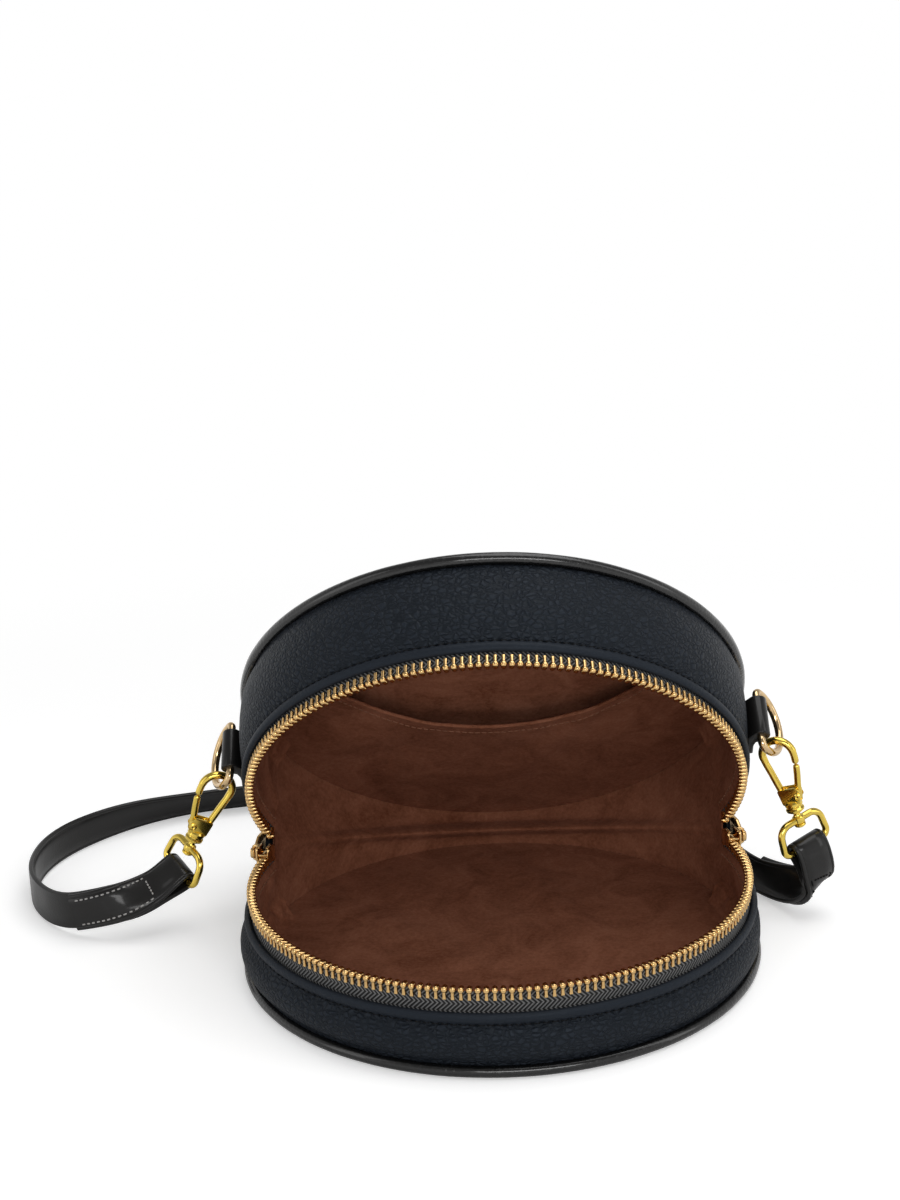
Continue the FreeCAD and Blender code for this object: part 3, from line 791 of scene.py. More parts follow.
LOOKS["zip_metal"] = polished("zip metal", (0.72, 0.47, 0.20), 0.1, 0.1)
LOOKS["ring_metal"] = polished("ring metal", (0.70, 0.50, 0.27), 0.08, 0.06)
LOOKS["clasp_metal"] = polished("clasp metal", (0.80, 0.58, 0.11), 0.12, 0.06)
LOOKS["spring_steel"] = polished("spring steel", (0.55, 0.54, 0.52), 0.25, 0.1)
print("finishes:", list(LOOKS))

# %% [markdown]
# ## Thread and board
#
# Seams are sewn with dark and with brown waxed thread, and stiff grey-brown boards lie between leather
# and lining. A third, pale thread is the dark one with a painted highlight, for stitches where it catches
# the light. Thread could be a twisted pair of strands, which nobody sees at this size. The lining's
# fibres, used again with another depth, give thread and board their dry look.


# %% Thread and board
def thread(name, colour):
    material, tree, shader = new_material(name, colour, 0.7, Specular_IOR_Level=0.15)
    nap = use_group(tree, FIBRES, "Coordinates", Depth=0.0001)
    tree.links.new(nap.outputs["Normal"], shader.inputs["Normal"])
    return material


def stiff_board():
    material, tree, shader = new_material("stiffener", (0.35, 0.31, 0.25), 0.9)
    nap = use_group(tree, FIBRES, "Coordinates", Depth=0.0002)
    tree.links.new(nap.outputs["Normal"], shader.inputs["Normal"])
    return material


LOOKS["stiffener"] = stiff_board()
DARK_THREAD = thread("dark thread", (0.0025, 0.0025, 0.003))
# Painted highlight: the same dark thread, painted pale where it catches the light on the left lap.
PAINTED_HIGHLIGHT_THREAD = thread("thread with painted highlight", (0.36, 0.35, 0.34))
BROWN_THREAD = thread("brown thread", (0.24, 0.11, 0.065))
print("materials:", sorted(m.name for m in bpy.data.materials))


# %% [markdown]
# ## Dressing a piece
#
# Each finished piece needs a material, which is looked up by the name of its finish unless one is given,
# the moving body that it belongs to, and the solids that it stands for, which are hidden. They could be
# set wherever a piece is made. One helper does all of it.


# %% Dressing a piece
def dress(obj, slot, body=None, replaces=(), material=None):
    """Give a piece its look and the body that it rides on, and hide the solids that it stands for."""
    obj.data.materials.clear()
    obj.data.materials.append(material or LOOKS[slot])
    if body:
        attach(obj, body)
    if replaces:
        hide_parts(*replaces)
    return obj


print(len(LOOKS), "finishes to choose from")

# %% [markdown]
# ## How far a wall swells
#
# A wall is a strip of leather over a stiff board. It swells between its two seams, most along the front
# of the bag, and a ring tab that is sewn on holds it in. A cloth simulation could puff it up, but the
# result would have to be fitted to every seam afterwards. A share from 0 to 1 round the bag says the
# same, and is easy to change.

# %% How far a wall swells
WALL_BULGE = {"front": 2.4, "back": 2.6}
LEFT_BULGE = {"front": 0.5, "back": 0.2}
BULGE_FROM = 111.0
BULGE_RUN = 26.0
LEAST_BULGE = 0.1
TAB_DIP_RUN = 11.0
TAB_DIP = 0.6
TAB_DIP_SHIFT = 4.0


def tab_angle(side):
    """Angle round the bag at which a ring tab is sewn to the back wall."""
    closed = opened(Vector(joint["ring_swing_" + side]["pos_m"]) / MM, -OPEN_ANGLE)
    return math.degrees(math.atan2(closed.x, -closed.y)) + SIDES[side] * TAB_DIP_SHIFT


TAB_ANGLES = [tab_angle(side) for side in SIDES]
print("ring tabs at", [round(a, 1) for a in TAB_ANGLES], "degrees from the front")


def bulge_share(half, angle):
    """The wall swells between its ends; the back one is held in where a ring tab is sewn on."""
    share = max(LEAST_BULGE, ease((BULGE_FROM - abs(angle)) / BULGE_RUN))
    if half == "back":
        for tab in TAB_ANGLES:
            share *= 1 - TAB_DIP * math.exp(-((angle - tab) / TAB_DIP_RUN) ** 2)
    return share


print("swelling at the side of the back:", round(bulge_share("back", 90), 2))

# %% [markdown]
# ## Section of a wall
#
# Cut across, the wall starts under the piping, swells, is pulled in by a line of stitches and ends in a
# folded edge beside the zip. A flat strip with a bump would lose the shadow of that fold. So the whole
# section is drawn as a closed outline, and the pull of the thread rises and falls with every stitch.

# %% Section of a wall
WALL_DENT = 0.45
DENT_SIZE = 34.0
WALL_ROWS = 7
WALL_ROUNDNESS = 0.55
PUCKER = 1.15
PUCKER_MEAN = 0.62


def wall_outline(half, angle):
    """Radius beyond the bag's own and depth, round the wall's section at one angle."""
    edge = DEPTH[half] - EDGE_BELOW_ZIP[half]
    seam = SEAM_DEPTH[half]
    run = math.radians(angle) * BAG_RADIUS
    pull = PUCKER * (PUCKER_MEAN + (1 - PUCKER_MEAN) * math.cos(2 * math.pi * run / STITCH_PITCH))
    low = WALL_BASE + 1.5
    high = seam - 1.5
    bulge = WALL_BULGE[half] - LEFT_BULGE[half] * math.sin(math.radians(angle))
    bulge *= bulge_share(half, angle)
    outline = [(-1.9, WALL_BASE - 1.2), (-0.9, WALL_BASE - 0.7), (-0.25, WALL_BASE + 0.1), (0.0, low)]
    for t in spread(0, 1, WALL_ROWS + 1)[1:-1]:
        depth = low + (high - low) * t
        swell = bulge + WALL_DENT * wobble(run, depth, len(half), DENT_SIZE)
        outline.append((swell * math.sin(math.pi * t) ** WALL_ROUNDNESS, depth))
    outline += [(0.25, high), (-0.25 * pull, seam - 0.6), (-pull, seam), (-0.3 * pull, seam + 0.55)]
    outline += [(0.35, seam + 1.2), (0.65, seam + 2.2), (0.5, edge - 0.9), (0.1, edge - 0.3), (-0.5, edge)]
    outline += [(-1.2, edge - 0.05), (-1.7, edge - 0.5), (-WALL_THICK, edge - 1.4), (-WALL_THICK, WALL_BASE)]
    return outline


print("a wall's section has", len(wall_outline("back", 0)), "corners")

# %% [markdown]
# ## The leather walls
#
# On the real bag one strip goes from one end of the zip to the other. It could be a plain band with a
# modifier for its thickness. Here the section travels round the bag, six times for every stitch, so that
# the puckers are real and show in the outline. Above the seam the leather is folded and pressed, and gets
# less grain.

# %% The leather walls
STEPS_PER_STITCH = 6
FOLDED_GRAIN = 0.2
FOLD_ABOVE_SEAM = 0.3


def set_grain(obj, values):
    """Store at each corner how strong the pebbled grain is there."""
    layer = obj.data.attributes.new("grain", "FLOAT", "POINT")
    layer.data.foreach_set("value", values)


def leather_wall(half):
    count = int(2 * math.radians(WALL_END) * BAG_RADIUS / STITCH_PITCH * STEPS_PER_STITCH)
    rings = []
    for angle in spread(-WALL_END, WALL_END, count):
        rings.append([half_point(half, BAG_RADIUS + r, angle, z) for r, z in wall_outline(half, angle)])
    wall = Shape().skin(rings).build(half + "_wall", crease=70)
    seam = half_point(half, 0, 0, SEAM_DEPTH[half])
    above = [(v.co / MM - seam).dot(depth_way(half)) for v in wall.data.vertices]
    set_grain(wall, [FOLDED_GRAIN if h > FOLD_ABOVE_SEAM else 1.0 for h in above])
    return dress(wall, "pebbled_leather", half + "_half", [half + "_gusset"])


for half in HALVES:
    wall = leather_wall(half)
    print(wall.name, len(wall.data.vertices), "corners")

# %% [markdown]
# ## Stitches of the walls
#
# The folded edge is sewn down with dark waxed thread, and the lining later with brown. A row of dashes in
# a texture would be cheaper, but it would be flat from the side. So each stitch is a short rod that lies
# in its pucker, and one function sews every row.

# %% Stitches of the walls
THREAD_RADIUS = 0.33
STITCH_LENGTH = 2.2
SEAM_SINK = 0.55


def seam_stitches(half, radius, depth, pitch, name, material, slot):
    """A row of stitches round a wall."""
    row = Shape()
    reach = math.radians(WALL_END) * BAG_RADIUS
    count = int(reach / pitch)
    for k in range(-count, count):
        angle = math.degrees((k + 0.5) * pitch / BAG_RADIUS)
        here = half_point(half, radius, angle, depth)
        ahead = half_point(half, radius, angle + 0.5, depth)
        stitch(row, here, ahead - here, STITCH_LENGTH * pitch / STITCH_PITCH, THREAD_RADIUS)
    return dress(row.build(name), slot, half + "_half", material=material)


for half in HALVES:
    seam = seam_stitches(half, BAG_RADIUS - SEAM_SINK, SEAM_DEPTH[half], STITCH_PITCH, half + "_seam",
                         DARK_THREAD, "pebbled_leather")
    print(seam.name, "every", STITCH_PITCH, "mm")

# %% [markdown]
# ## Panels
#
# Each half is closed by a round leather panel over a board. A flat disc would do from far away, but real
# leather dips where it is sewn into the rim, and the back panel is a little domed. So rings of growing
# radius follow one curve. The front panel has no dome, because the bag lies on it.

# %% Panels
PANEL_CROWN = {"front": 0.0, "back": 1.6}
PANEL_FLAT = 87.0
PANEL_RIM = 93.7
PANEL_TUCK = 1.3
PANEL_RADII = [0.5] + spread(8, PANEL_FLAT, 11) + spread(PANEL_FLAT + 1.5, PANEL_RIM, 6)
ROUND_STEPS = 180


def panel(half):
    rings = []
    for radius in PANEL_RADII:
        over = max(0.0, (radius - PANEL_FLAT) / (PANEL_RIM - PANEL_FLAT))
        depth = PANEL_TUCK * over ** 2 - PANEL_CROWN[half] * (1 - (radius / PANEL_RIM) ** 2)
        rings.append([half_point(half, radius, 360 * k / ROUND_STEPS, depth) for k in range(ROUND_STEPS)])
    shape = Shape().skin(rings, capped=False)
    shape.faces.append(tuple(range(ROUND_STEPS)))
    disc = shape.build(half + "_cover")
    set_grain(disc, [1.0] * len(disc.data.vertices))
    return dress(disc, "pebbled_leather", half + "_half", [half + "_panel"])


for half in HALVES:
    print(panel(half).name, "dips", PANEL_TUCK, "mm at its rim")

# %% [markdown]
# ## Piping
#
# Piping is a thin cord wrapped in glossy leather and sewn between panel and wall. It protects the edge
# and draws the bag's outline. A torus would be too perfect. A closed rod round the rim, whose thickness
# wavers by a few hundredths, breaks the highlight as sewn piping does.

# %% Piping
PIPING_WAVER = 0.03
WAVER_SIZE = 9.0


def piping(half):
    path = [half_point(half, BAG_RADIUS, 360 * k / ROUND_STEPS, PIPING_HEIGHT) for k in range(ROUND_STEPS)]
    radii = [PIPING_RADIUS[half] * (1 + PIPING_WAVER * wobble(p.x, p.y, p.z, WAVER_SIZE)) for p in path]
    cord = Shape().tube(path, radii, sides=18, closed=True).build(half + "_cord")
    return dress(cord, "piping_leather", half + "_half", [half + "_piping"])


for half in HALVES:
    print(piping(half).name, 2 * PIPING_RADIUS[half], "mm thick")

# %% [markdown]
# ## Folds of the lining
#
# The lining is a soft cloth that hangs a little loose. It could be draped by a simulation, but it must
# not push through the leather behind it. Broad and small folds are made of noise that is cut off at zero,
# so that they only lean inwards.

# %% Folds of the lining
BROAD_FOLD = 3.2
BROAD_SIZE = 17.0
SMALL_FOLD = 0.6
SMALL_SIZE = 7.0


def lining_folds(run, depth, seed):
    """Inward depth of the loose folds; never negative."""
    broad = max(0.0, wobble(run + 0.9 * depth, depth * 0.7, seed, BROAD_SIZE))
    small = max(0.0, wobble(run - 0.6 * depth, depth * 1.2, seed + 7, SMALL_SIZE))
    return BROAD_FOLD * broad + SMALL_FOLD * small


print("a fold at the front:", round(lining_folds(0, DEPTH["back"] / 2, len("back")), 2), "mm deep")

# %% [markdown]
# ## Lining of the walls
#
# The lining is sewn in beside the zip, turns into the panel at its foot and is gathered there in small
# pleats. A plain ring of cloth would meet the panel in a hard corner. So one line is drawn from zip to
# panel at every angle, with the folds, a round foot and the pleats in it.

# %% Lining of the walls
LINING_TOP_BELOW_ZIP = 6.3
LINING_FILLET = 7.0
LINING_STEPS = 300
LINING_SEAM_BELOW_ZIP = 9.4
LINING_STITCH = 2.6
PLEAT_DEPTH = 1.5
PLEAT_PITCH = 5.0
PLEATS_FROM = 30.0
PLEATS_RUN = 25.0


def lining_line(half, angle):
    """Radius and depth down the lining at one angle, from the zip to the panel."""
    top = DEPTH[half] - LINING_TOP_BELOW_ZIP
    run = math.radians(angle) * LINING_RADIUS
    line = [(LINING_RADIUS + 0.9, top), (LINING_RADIUS + 0.75, top - 0.8)]
    line.append((LINING_RADIUS + 0.1, top - 2.5))
    foot_x = LINING_RADIUS - LINING_FILLET
    foot_z = FLOOR_LINING + LINING_FILLET
    for t in spread(0, 1, 12)[1:]:
        depth = top - 3 + (foot_z - top + 3) * t
        line.append((LINING_RADIUS - lining_folds(run, depth, len(half)) * min(1, 5 * t), depth))
    inset = LINING_RADIUS - line[-1][0]
    pleated = PLEAT_DEPTH * ease((abs(angle) - PLEATS_FROM) / PLEATS_RUN)
    gather = pleated * (1 + wobble(run, 0, 5, PLEAT_PITCH))
    for x, z in arc(foot_x, foot_z, LINING_FILLET, 0, -90, 8)[1:]:
        pleat = gather * math.sin(math.pi * (z - FLOOR_LINING) / LINING_FILLET)
        line.append((x - inset * (z - FLOOR_LINING) / LINING_FILLET - pleat, z + pleat))
    line.append((foot_x - 4, FLOOR_LINING - 0.2))
    return line


def lining_wall(half):
    rings = []
    for angle in spread(-WALL_END, WALL_END, LINING_STEPS):
        rings.append([half_point(half, r, angle, z) for r, z in lining_line(half, angle)])
    cloth = Shape().skin(rings, open_rings=True).build(half + "_lining", crease=80)
    return dress(cloth, "lining", half + "_half", [half + "_gusset_lining"])


for half in HALVES:
    cloth = lining_wall(half)
    seam_stitches(half, LINING_RADIUS - 0.1, DEPTH[half] - LINING_SEAM_BELOW_ZIP, LINING_STITCH,
                  half + "_lining_seam", BROWN_THREAD, "lining")
    print(cloth.name, len(cloth.data.vertices), "corners")

# %% [markdown]
# ## Lining of the panels
#
# A round piece of the same cloth covers each panel from inside. A flat disc would look like paint. It is
# drawn as rings, with folds half as deep as on the walls, which die away towards the rim where the cloth
# is held.

# %% Lining of the panels
FLOOR_FOLDS = 0.5
FOLDS_DIE_OVER = 20.0


def lining_floor(half):
    rings = []
    for radius in [0.5] + spread(4, LINING_RADIUS - 0.3, 34):
        ring = []
        for k in range(ROUND_STEPS):
            flat = on_circle(radius, 360 * k / ROUND_STEPS, FLOOR_LINING)
            edge = min(1.0, (LINING_RADIUS - radius) / FOLDS_DIE_OVER)
            flat.z += edge * (FLOOR_FOLDS * lining_folds(flat.x, flat.y / 2, 3 + len(half)))
            ring.append(seat(half, flat))
        rings.append(ring)
    shape = Shape().skin(rings, capped=False)
    shape.faces.append(tuple(range(ROUND_STEPS)))
    cloth = shape.build(half + "_floor_lining", crease=80)
    return dress(cloth, "lining", half + "_half", [half + "_panel_lining"])


for half in HALVES:
    print(lining_floor(half).name, "at", FLOOR_LINING, "mm above the panel")

# %% [markdown]
# ## Slip pocket
#
# A flat pocket with a scooped mouth is sewn to the back panel's lining. It could be cut from the lining's
# own mesh, but it is a cloth of its own that stands off a little. So it is a sheet between two curves,
# the scooped mouth and the sewn rim, and it gapes most in the middle of its mouth.

# %% Sheet of the pocket
POCKET_RADIUS = 88.0
POCKET_SCOOP = 87.0
POCKET_MOUTH = 29.0
POCKET_GAPE = 8.0
POCKET_LIFT = 1.2
POCKET_FOLDS = 0.7


def pocket_rows():
    """Rows of points from the pocket's mouth to its sewn rim, on the back half's panel."""
    centre_y = HINGE.y - POCKET_MOUTH - POCKET_SCOOP
    tip_y = (POCKET_SCOOP ** 2 - POCKET_RADIUS ** 2 - centre_y ** 2) / (-2 * centre_y)
    tip_x = math.sqrt(POCKET_RADIUS ** 2 - tip_y ** 2)
    mouth_turn = math.degrees(math.atan2(tip_x, tip_y - centre_y))
    rim_turn = math.degrees(math.atan2(tip_x, tip_y))
    rows = []
    for share in spread(-1, 1, 81):
        a = math.radians(share * mouth_turn)
        b = math.radians(share * rim_turn)
        mouth = Vector((POCKET_SCOOP * math.sin(a), centre_y + POCKET_SCOOP * math.cos(a), 0))
        rim = Vector((POCKET_RADIUS * math.sin(b), POCKET_RADIUS * math.cos(b), 0))
        row = []
        for t in spread(0, 1, 22):
            point = mouth.lerp(rim, t)
            gape = POCKET_GAPE * (1 - t) ** 3 * math.cos(share * math.pi / 2)
            fold = POCKET_FOLDS * lining_folds(point.x, point.y / 2, 11)
            fold *= math.sin(math.pi * min(1, t + 0.15))
            point.z = FLOOR_LINING + POCKET_LIFT * (1 - t ** 3) + gape + fold
            row.append(seat("back", point))
        rows.append(row)
    return rows


POCKET_ROWS = pocket_rows()
print("the pocket has", len(POCKET_ROWS), "rows of", len(POCKET_ROWS[0]), "points")

# %% [markdown]
# ## Hem and seam of the pocket
#
# The pocket's mouth has a rolled hem, and a line of thread holds it. Both could be painted on the sheet.
# They are thin solid pieces that follow the sheet's own rows, so they stay on it however it folds.

# %% Hem and seam of the pocket
HEM_RADIUS = 0.75
POCKET_THREAD = 0.3


def slip_pocket(rows):
    cloth = Shape().skin(rows, open_rings=True).build("pocket_cloth", crease=80)
    hem = Shape().tube([row[0] for row in rows], HEM_RADIUS, sides=10).build("pocket_hem")
    threads = Shape()
    line = [row[2] for row in rows]
    for a, b in zip(line[2:-2], line[3:-2]):
        stitch(threads, (a + b) / 2, b - a, 0.75 * (b - a).length, POCKET_THREAD)
    dress(threads.build("pocket_seam"), "lining", "back_half", material=BROWN_THREAD)
    dress(cloth, "lining", "back_half", ["slip_pocket"])
    dress(hem, "lining", "back_half")
    return cloth, hem


pocket, pocket_hem = slip_pocket(POCKET_ROWS)

# %% [markdown]
# ## Folding the soft base
#
# Behind the zip's ends a plain strip joins the halves and is the hinge. On the closed bag it is part of a
# cylinder, and on the open bag it folds. The bend could be painted as weights. Here each point takes a
# share of the opening angle, by where it lies in a folding band. That share depends on the place where
# the point ends up, so an angle is halved again and again until the two agree.

# %% Folding the soft base
FOLD_SHARE = 0.8
TOP = DEPTH["front"] + DEPTH["back"]
FOLD_LOW = on_circle(BAG_RADIUS, 180, WALL_BASE)
FOLD_HIGH = opened(on_circle(BAG_RADIUS, 180, TOP - WALL_BASE))
FOLD_MIDDLE = (FOLD_LOW + FOLD_HIGH) / 2
FOLD_LINE = FOLD_MIDDLE - HINGE
FOLD_RISE = Vector((0, -FOLD_LINE.z, FOLD_LINE.y)).normalized()
FOLD_BAND = FOLD_SHARE * (FOLD_HIGH - FOLD_LOW).dot(FOLD_RISE)


def fold_share(point):
    """How much of the opening a point has taken, by its place across the folding band."""
    return ease((point - FOLD_MIDDLE).dot(FOLD_RISE) / FOLD_BAND + 0.5)


def folded(point):
    """Where a point of the closed bag's base lies when the bag is open."""
    low = 0.0
    high = OPEN_ANGLE
    for _ in range(30):
        middle = (low + high) / 2
        if fold_share(opened(point, middle)) * OPEN_ANGLE > middle:
            low = middle
        else:
            high = middle
    return opened(point, (low + high) / 2)


print("fold band", round(FOLD_BAND, 2), "mm at", [round(v, 1) for v in FOLD_MIDDLE])

# %% [markdown] ## Base strip and its lining  The strip is leather outside and cloth inside. Two bands
# that are folded by hand would not stay parallel. Both are drawn as parts of a cylinder and folded by
# the same function.

# %% Base strip and its lining
BASE_THICK = 1.6
BASE_CLOTH = 0.8
BASE_GRAIN = 0.8
BASE_TUCK = 0.6


def base_piece(name, outer, inner, slot, node):
    rings = []
    heights = spread(WALL_BASE - BASE_TUCK, TOP - WALL_BASE + BASE_TUCK, 30)
    for angle in spread(WALL_END - 0.3, 360 - WALL_END + 0.3, 80):
        ring = [folded(on_circle(outer, angle, z)) for z in heights]
        ring += [folded(on_circle(inner, angle, z)) for z in reversed(heights)]
        rings.append(ring)
    strip = Shape().skin(rings).build(name, crease=60)
    set_grain(strip, [BASE_GRAIN] * len(strip.data.vertices))
    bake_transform(strip)
    return dress(strip, slot, replaces=[node])


strips = [
    base_piece("base_leather", BAG_RADIUS, BAG_RADIUS - BASE_THICK, "pebbled_leather", "base_gusset"),
    base_piece("base_cloth", LINING_RADIUS + BASE_CLOTH, LINING_RADIUS, "lining", "base_lining"),
]
print([strip.name for strip in strips], "fold with the opening")

# %% [markdown]
# ## Zip tape
#
# The tape is a woven band that carries the teeth. Its lower part is sewn under the wall's folded edge,
# and a bead runs along its free edge. A flat strip would do for the weave but would lose that bead. The
# tape's section has it, and every corner gets a map in metres, along the zip and across it, so that the
# weave keeps its real size.

# %% Zip tape
TAPE_THICK = 0.8
TAPE_HIDDEN = 6.0
ROW_GAP = 1.4
TOOTH_HEIGHT = 4.5


def tape(half):
    low = DEPTH[half] - EDGE_BELOW_ZIP[half] - TAPE_HIDDEN
    high = DEPTH[half] - ROW_GAP / 2 - TOOTH_HEIGHT + 2.0
    side = TAPE_THICK / 2
    outline = [(side, z) for z in spread(low, high, 9)]
    outline += [(side + 0.3, high + 0.2), (side, high + 0.6), (0, high + 0.7)]
    outline += [(-r, z) for r, z in reversed(outline[:-1])]
    angles = spread(-WALL_END, WALL_END, 260)
    rings = [[half_point(half, ZIP_RADIUS + r, a, z) for r, z in outline] for a in angles]
    band = Shape().skin(rings).build(half + "_tape", crease=60)
    layer = band.data.uv_layers.new(name="weave")
    middle = half_point(half, 0, 0, 0)
    front = (half_point(half, 1, 0, 0) - middle).normalized()
    for loop in band.data.loops:
        point = band.data.vertices[loop.vertex_index].co / MM - middle
        around = math.atan2(point.x, point.dot(front)) * ZIP_RADIUS
        layer.data[loop.index].uv = (around * MM, point.dot(depth_way(half)) * MM)
    return dress(band, "zip_tape", half + "_half", [half + "_zip_tape"])


for half in HALVES:
    shown = EDGE_BELOW_ZIP[half] - ROW_GAP / 2 - TOOTH_HEIGHT
    print(tape(half).name, "shows", round(shown, 1), "mm below the teeth")

# %% [markdown]
# ## One tooth
#
# A metal tooth is clamped over the edge of the tape. It has a stem, a wider foot on the tape and a thick
# round head that locks between its neighbours. One tooth could be repeated by an array along a curve.
# Each is drawn in place on the zip's circle instead, as two skins that shrink towards both faces, so all
# its edges are round.

# %% One tooth
HEAD_THICK = 3.3
STEM_THICK = 2.4
STEM_HALF = 0.55
HEAD_HALF = 1.1
FOOT_WIDER = 1.25
# Share of the thickness and size of the outline there: teeth are rounded towards both faces.
HALF_ROUNDING = ((0.35, 1), (0.7, 0.92), (0.92, 0.7), (1, 0.4))
TOOTH_ROUNDING = [(-share, scale) for share, scale in reversed(HALF_ROUNDING)] + list(HALF_ROUNDING)


def tooth(shape, half, angle, stem, head):
    """One tooth at an angle round the zip: a stem with a foot on the tape, and a thicker round head."""
    top = DEPTH[half] - ROW_GAP / 2
    root = top - TOOTH_HEIGHT
    middle = top - head
    foot = FOOT_WIDER * stem
    side = [(foot, root), (foot, root + 0.5), (stem, root + 1.1), (stem, middle)]
    stem_line = side + [(-x, z) for x, z in reversed(side)]
    head_line = arc(0, 0, head, 0, 340, 18)

    def at(x, z, out):
        return half_point(half, ZIP_RADIUS + out, angle + math.degrees(x / ZIP_RADIUS), z)

    stems = []
    heads = []
    for share, scale in TOOTH_ROUNDING:
        stems.append([at(x * (1 + scale) / 2, z, share * STEM_THICK / 2) for x, z in stem_line])
        heads.append([at(x * scale, middle + z * scale, share * HEAD_THICK / 2) for x, z in head_line])
    shape.skin(stems)
    shape.skin(heads)


print("a tooth is", TOOTH_HEIGHT, "mm high, its head", HEAD_THICK, "mm thick")

# %% [markdown]
# ## Rows of teeth
#
# The two rows are shifted by half a pitch, so that the teeth of one would close between those of the
# other, and a wider stop at each end keeps the slider on. The rows could be one object, but each has to
# move with its own half of the bag. So each half gets a row of teeth and a pair of stops.

# %% Rows of teeth
TOOTH_PITCH = 2.8
STOP_LENGTH = 1.2
STOP_CLEAR = 1.0


def zip_row(half, shift):
    row = Shape()
    step = math.degrees(TOOTH_PITCH / ZIP_RADIUS)
    last = WALL_END - math.degrees((2 * STOP_LENGTH + STOP_CLEAR) / ZIP_RADIUS)
    count = int(last / step)
    angles = [(i + shift) * step for i in range(-count, count) if abs((i + shift) * step) < last]
    for angle in angles:
        tooth(row, half, angle, STEM_HALF, HEAD_HALF)
    stops = Shape()
    stop_angle = WALL_END - math.degrees(STOP_LENGTH / ZIP_RADIUS)
    for angle in (-stop_angle, stop_angle):
        tooth(stops, half, angle, STOP_LENGTH, STOP_LENGTH)
    dress(row.build(half + "_teeth", crease=50), "zip_metal", half + "_half", [half + "_zip_teeth"])
    dress(stops.build(half + "_stops", crease=50), "zip_metal", half + "_half", [half + "_zip_stops"])
    return len(angles)


for half, shift in zip(HALVES, (0.0, 0.5)):
    print(half, "row has", zip_row(half, shift), "teeth")

# %% [markdown]
# ## Place of a slider
#
# On the open bag a slider rests at each end of the zip, beside the stops. It could be placed by eye, but
# then again after every change of the teeth. Its angle is counted from the stops instead, and its axes
# follow the zip there: X runs to the front, Y up and Z out of the wall.

# %% Place of a slider
SLIDER_LENGTH = 7.0
SLIDER_FROM_END = 2 * STOP_LENGTH + STOP_CLEAR + SLIDER_LENGTH / 2
SLIDER_ANGLE = WALL_END - math.degrees(SLIDER_FROM_END / ZIP_RADIUS)


def slider_axes(side):
    """Local X towards the zip's front, Y up and Z out of the wall, at the middle of the zip's thickness."""
    sign = SIDES[side]
    origin = on_circle(ZIP_RADIUS, sign * SLIDER_ANGLE, HINGE.z)
    outward = on_circle(1, sign * SLIDER_ANGLE, 0)
    forward = on_circle(1, sign * (SLIDER_ANGLE - 90), 0)
    return axes(origin, forward, outward)


print("sliders at", round(SLIDER_ANGLE, 1), "degrees from the front")

# %% [markdown]
# ## Sliders
#
# A slider has two rounded plates, one inside the bag and one outside, joined by a post that passes
# between the rows, with narrow rails that guide the teeth. A small bail on the outer plate holds the
# pull. It is cast in one piece, and could be one box with cuts. Plates, rails and a bent rod, drawn in
# the slider's own axes, come closer to the casting's soft edges.

# %% Sliders
SLIDER_WIDTH = 6.6
SLIDER_PLATE = 1.0
SLIDER_ROOM = 0.5
RAIL_HALF = 0.28
RAIL_THICK = 0.7
RAIL_INSET = 0.15
POST_HALF = 0.5
BAIL_RISE = 1.9
BAIL_RADIUS = 0.8
BAIL_HALF = 2.8
SLIDER_FACE = STEM_THICK / 2 + 0.1 + SLIDER_ROOM


def oblong(left, right, low, high, radius):
    """Rounded upright rectangle."""
    return rounded([(left, low), (right, low), (right, high), (left, high)], radius)


def slider(side):
    place = slider_axes(side)
    half = SLIDER_WIDTH / 2
    nose = SLIDER_LENGTH / 2
    corners = [(nose, -half), (nose, half), (-0.2 * nose, half), (-nose, 0.72 * half), (-nose, -0.72 * half),
               (-0.2 * nose, -half)]
    outline = rounded(corners, [1.6, 1.6, 1.0, 1.6, 1.6, 1.0])
    body = Shape()
    for face in (SLIDER_FACE + SLIDER_PLATE / 2, -SLIDER_FACE - SLIDER_PLATE / 2):
        body.plate([outline], SLIDER_PLATE, 0.48, place @ Matrix.Translation((0, 0, face)))
        rail_z = math.copysign(SLIDER_FACE - RAIL_INSET, face)
        for y in (-half + RAIL_HALF, half - RAIL_HALF):
            rail = oblong(-0.5 * nose, 0.75 * nose, y - RAIL_HALF, y + RAIL_HALF, 0.25)
            body.plate([rail], RAIL_THICK, 0.25, place @ Matrix.Translation((0, 0, rail_z)))
    post = oblong(0.5 - nose, nose - 0.5, -POST_HALF, POST_HALF, 0.45)
    body.plate([post], 2 * SLIDER_FACE + 0.4, 0.1, place)
    rise = SLIDER_FACE + SLIDER_PLATE
    low = rise - 0.3
    high = rise + BAIL_RISE
    leg = [(BAIL_HALF, low), (BAIL_HALF, high - 0.9), (BAIL_HALF - 0.4, high - 0.2), (BAIL_HALF - 1.1, high)]
    bail = [(0, -y, z) for y, z in leg] + [(0, y, z) for y, z in reversed(leg)]
    body.tube(bail, BAIL_RADIUS * 0.85, sides=14, across=(1, 0, 0), place=place)
    made = body.build("slider_body_" + side, crease=25)
    return dress(made, "zip_metal", "slider_" + side, ["slider_" + side])


for side in SIDES:
    print(slider(side).name, SLIDER_LENGTH, "mm long")

# %% [markdown]
# ## Pulls
#
# The pull is a stamped tab with an eye for the bail and a hole at its free end. It lies along the wall
# behind the zip's end. A box with two cut holes would have sharp rims. As a filled outline with two more
# outlines for its holes it gets soft rims everywhere.

# %% Pulls
PULL_LENGTH = 26.0
PULL_WIDTH = 8.0
PULL_THICK = 1.6
NECK_HALF = 2.1


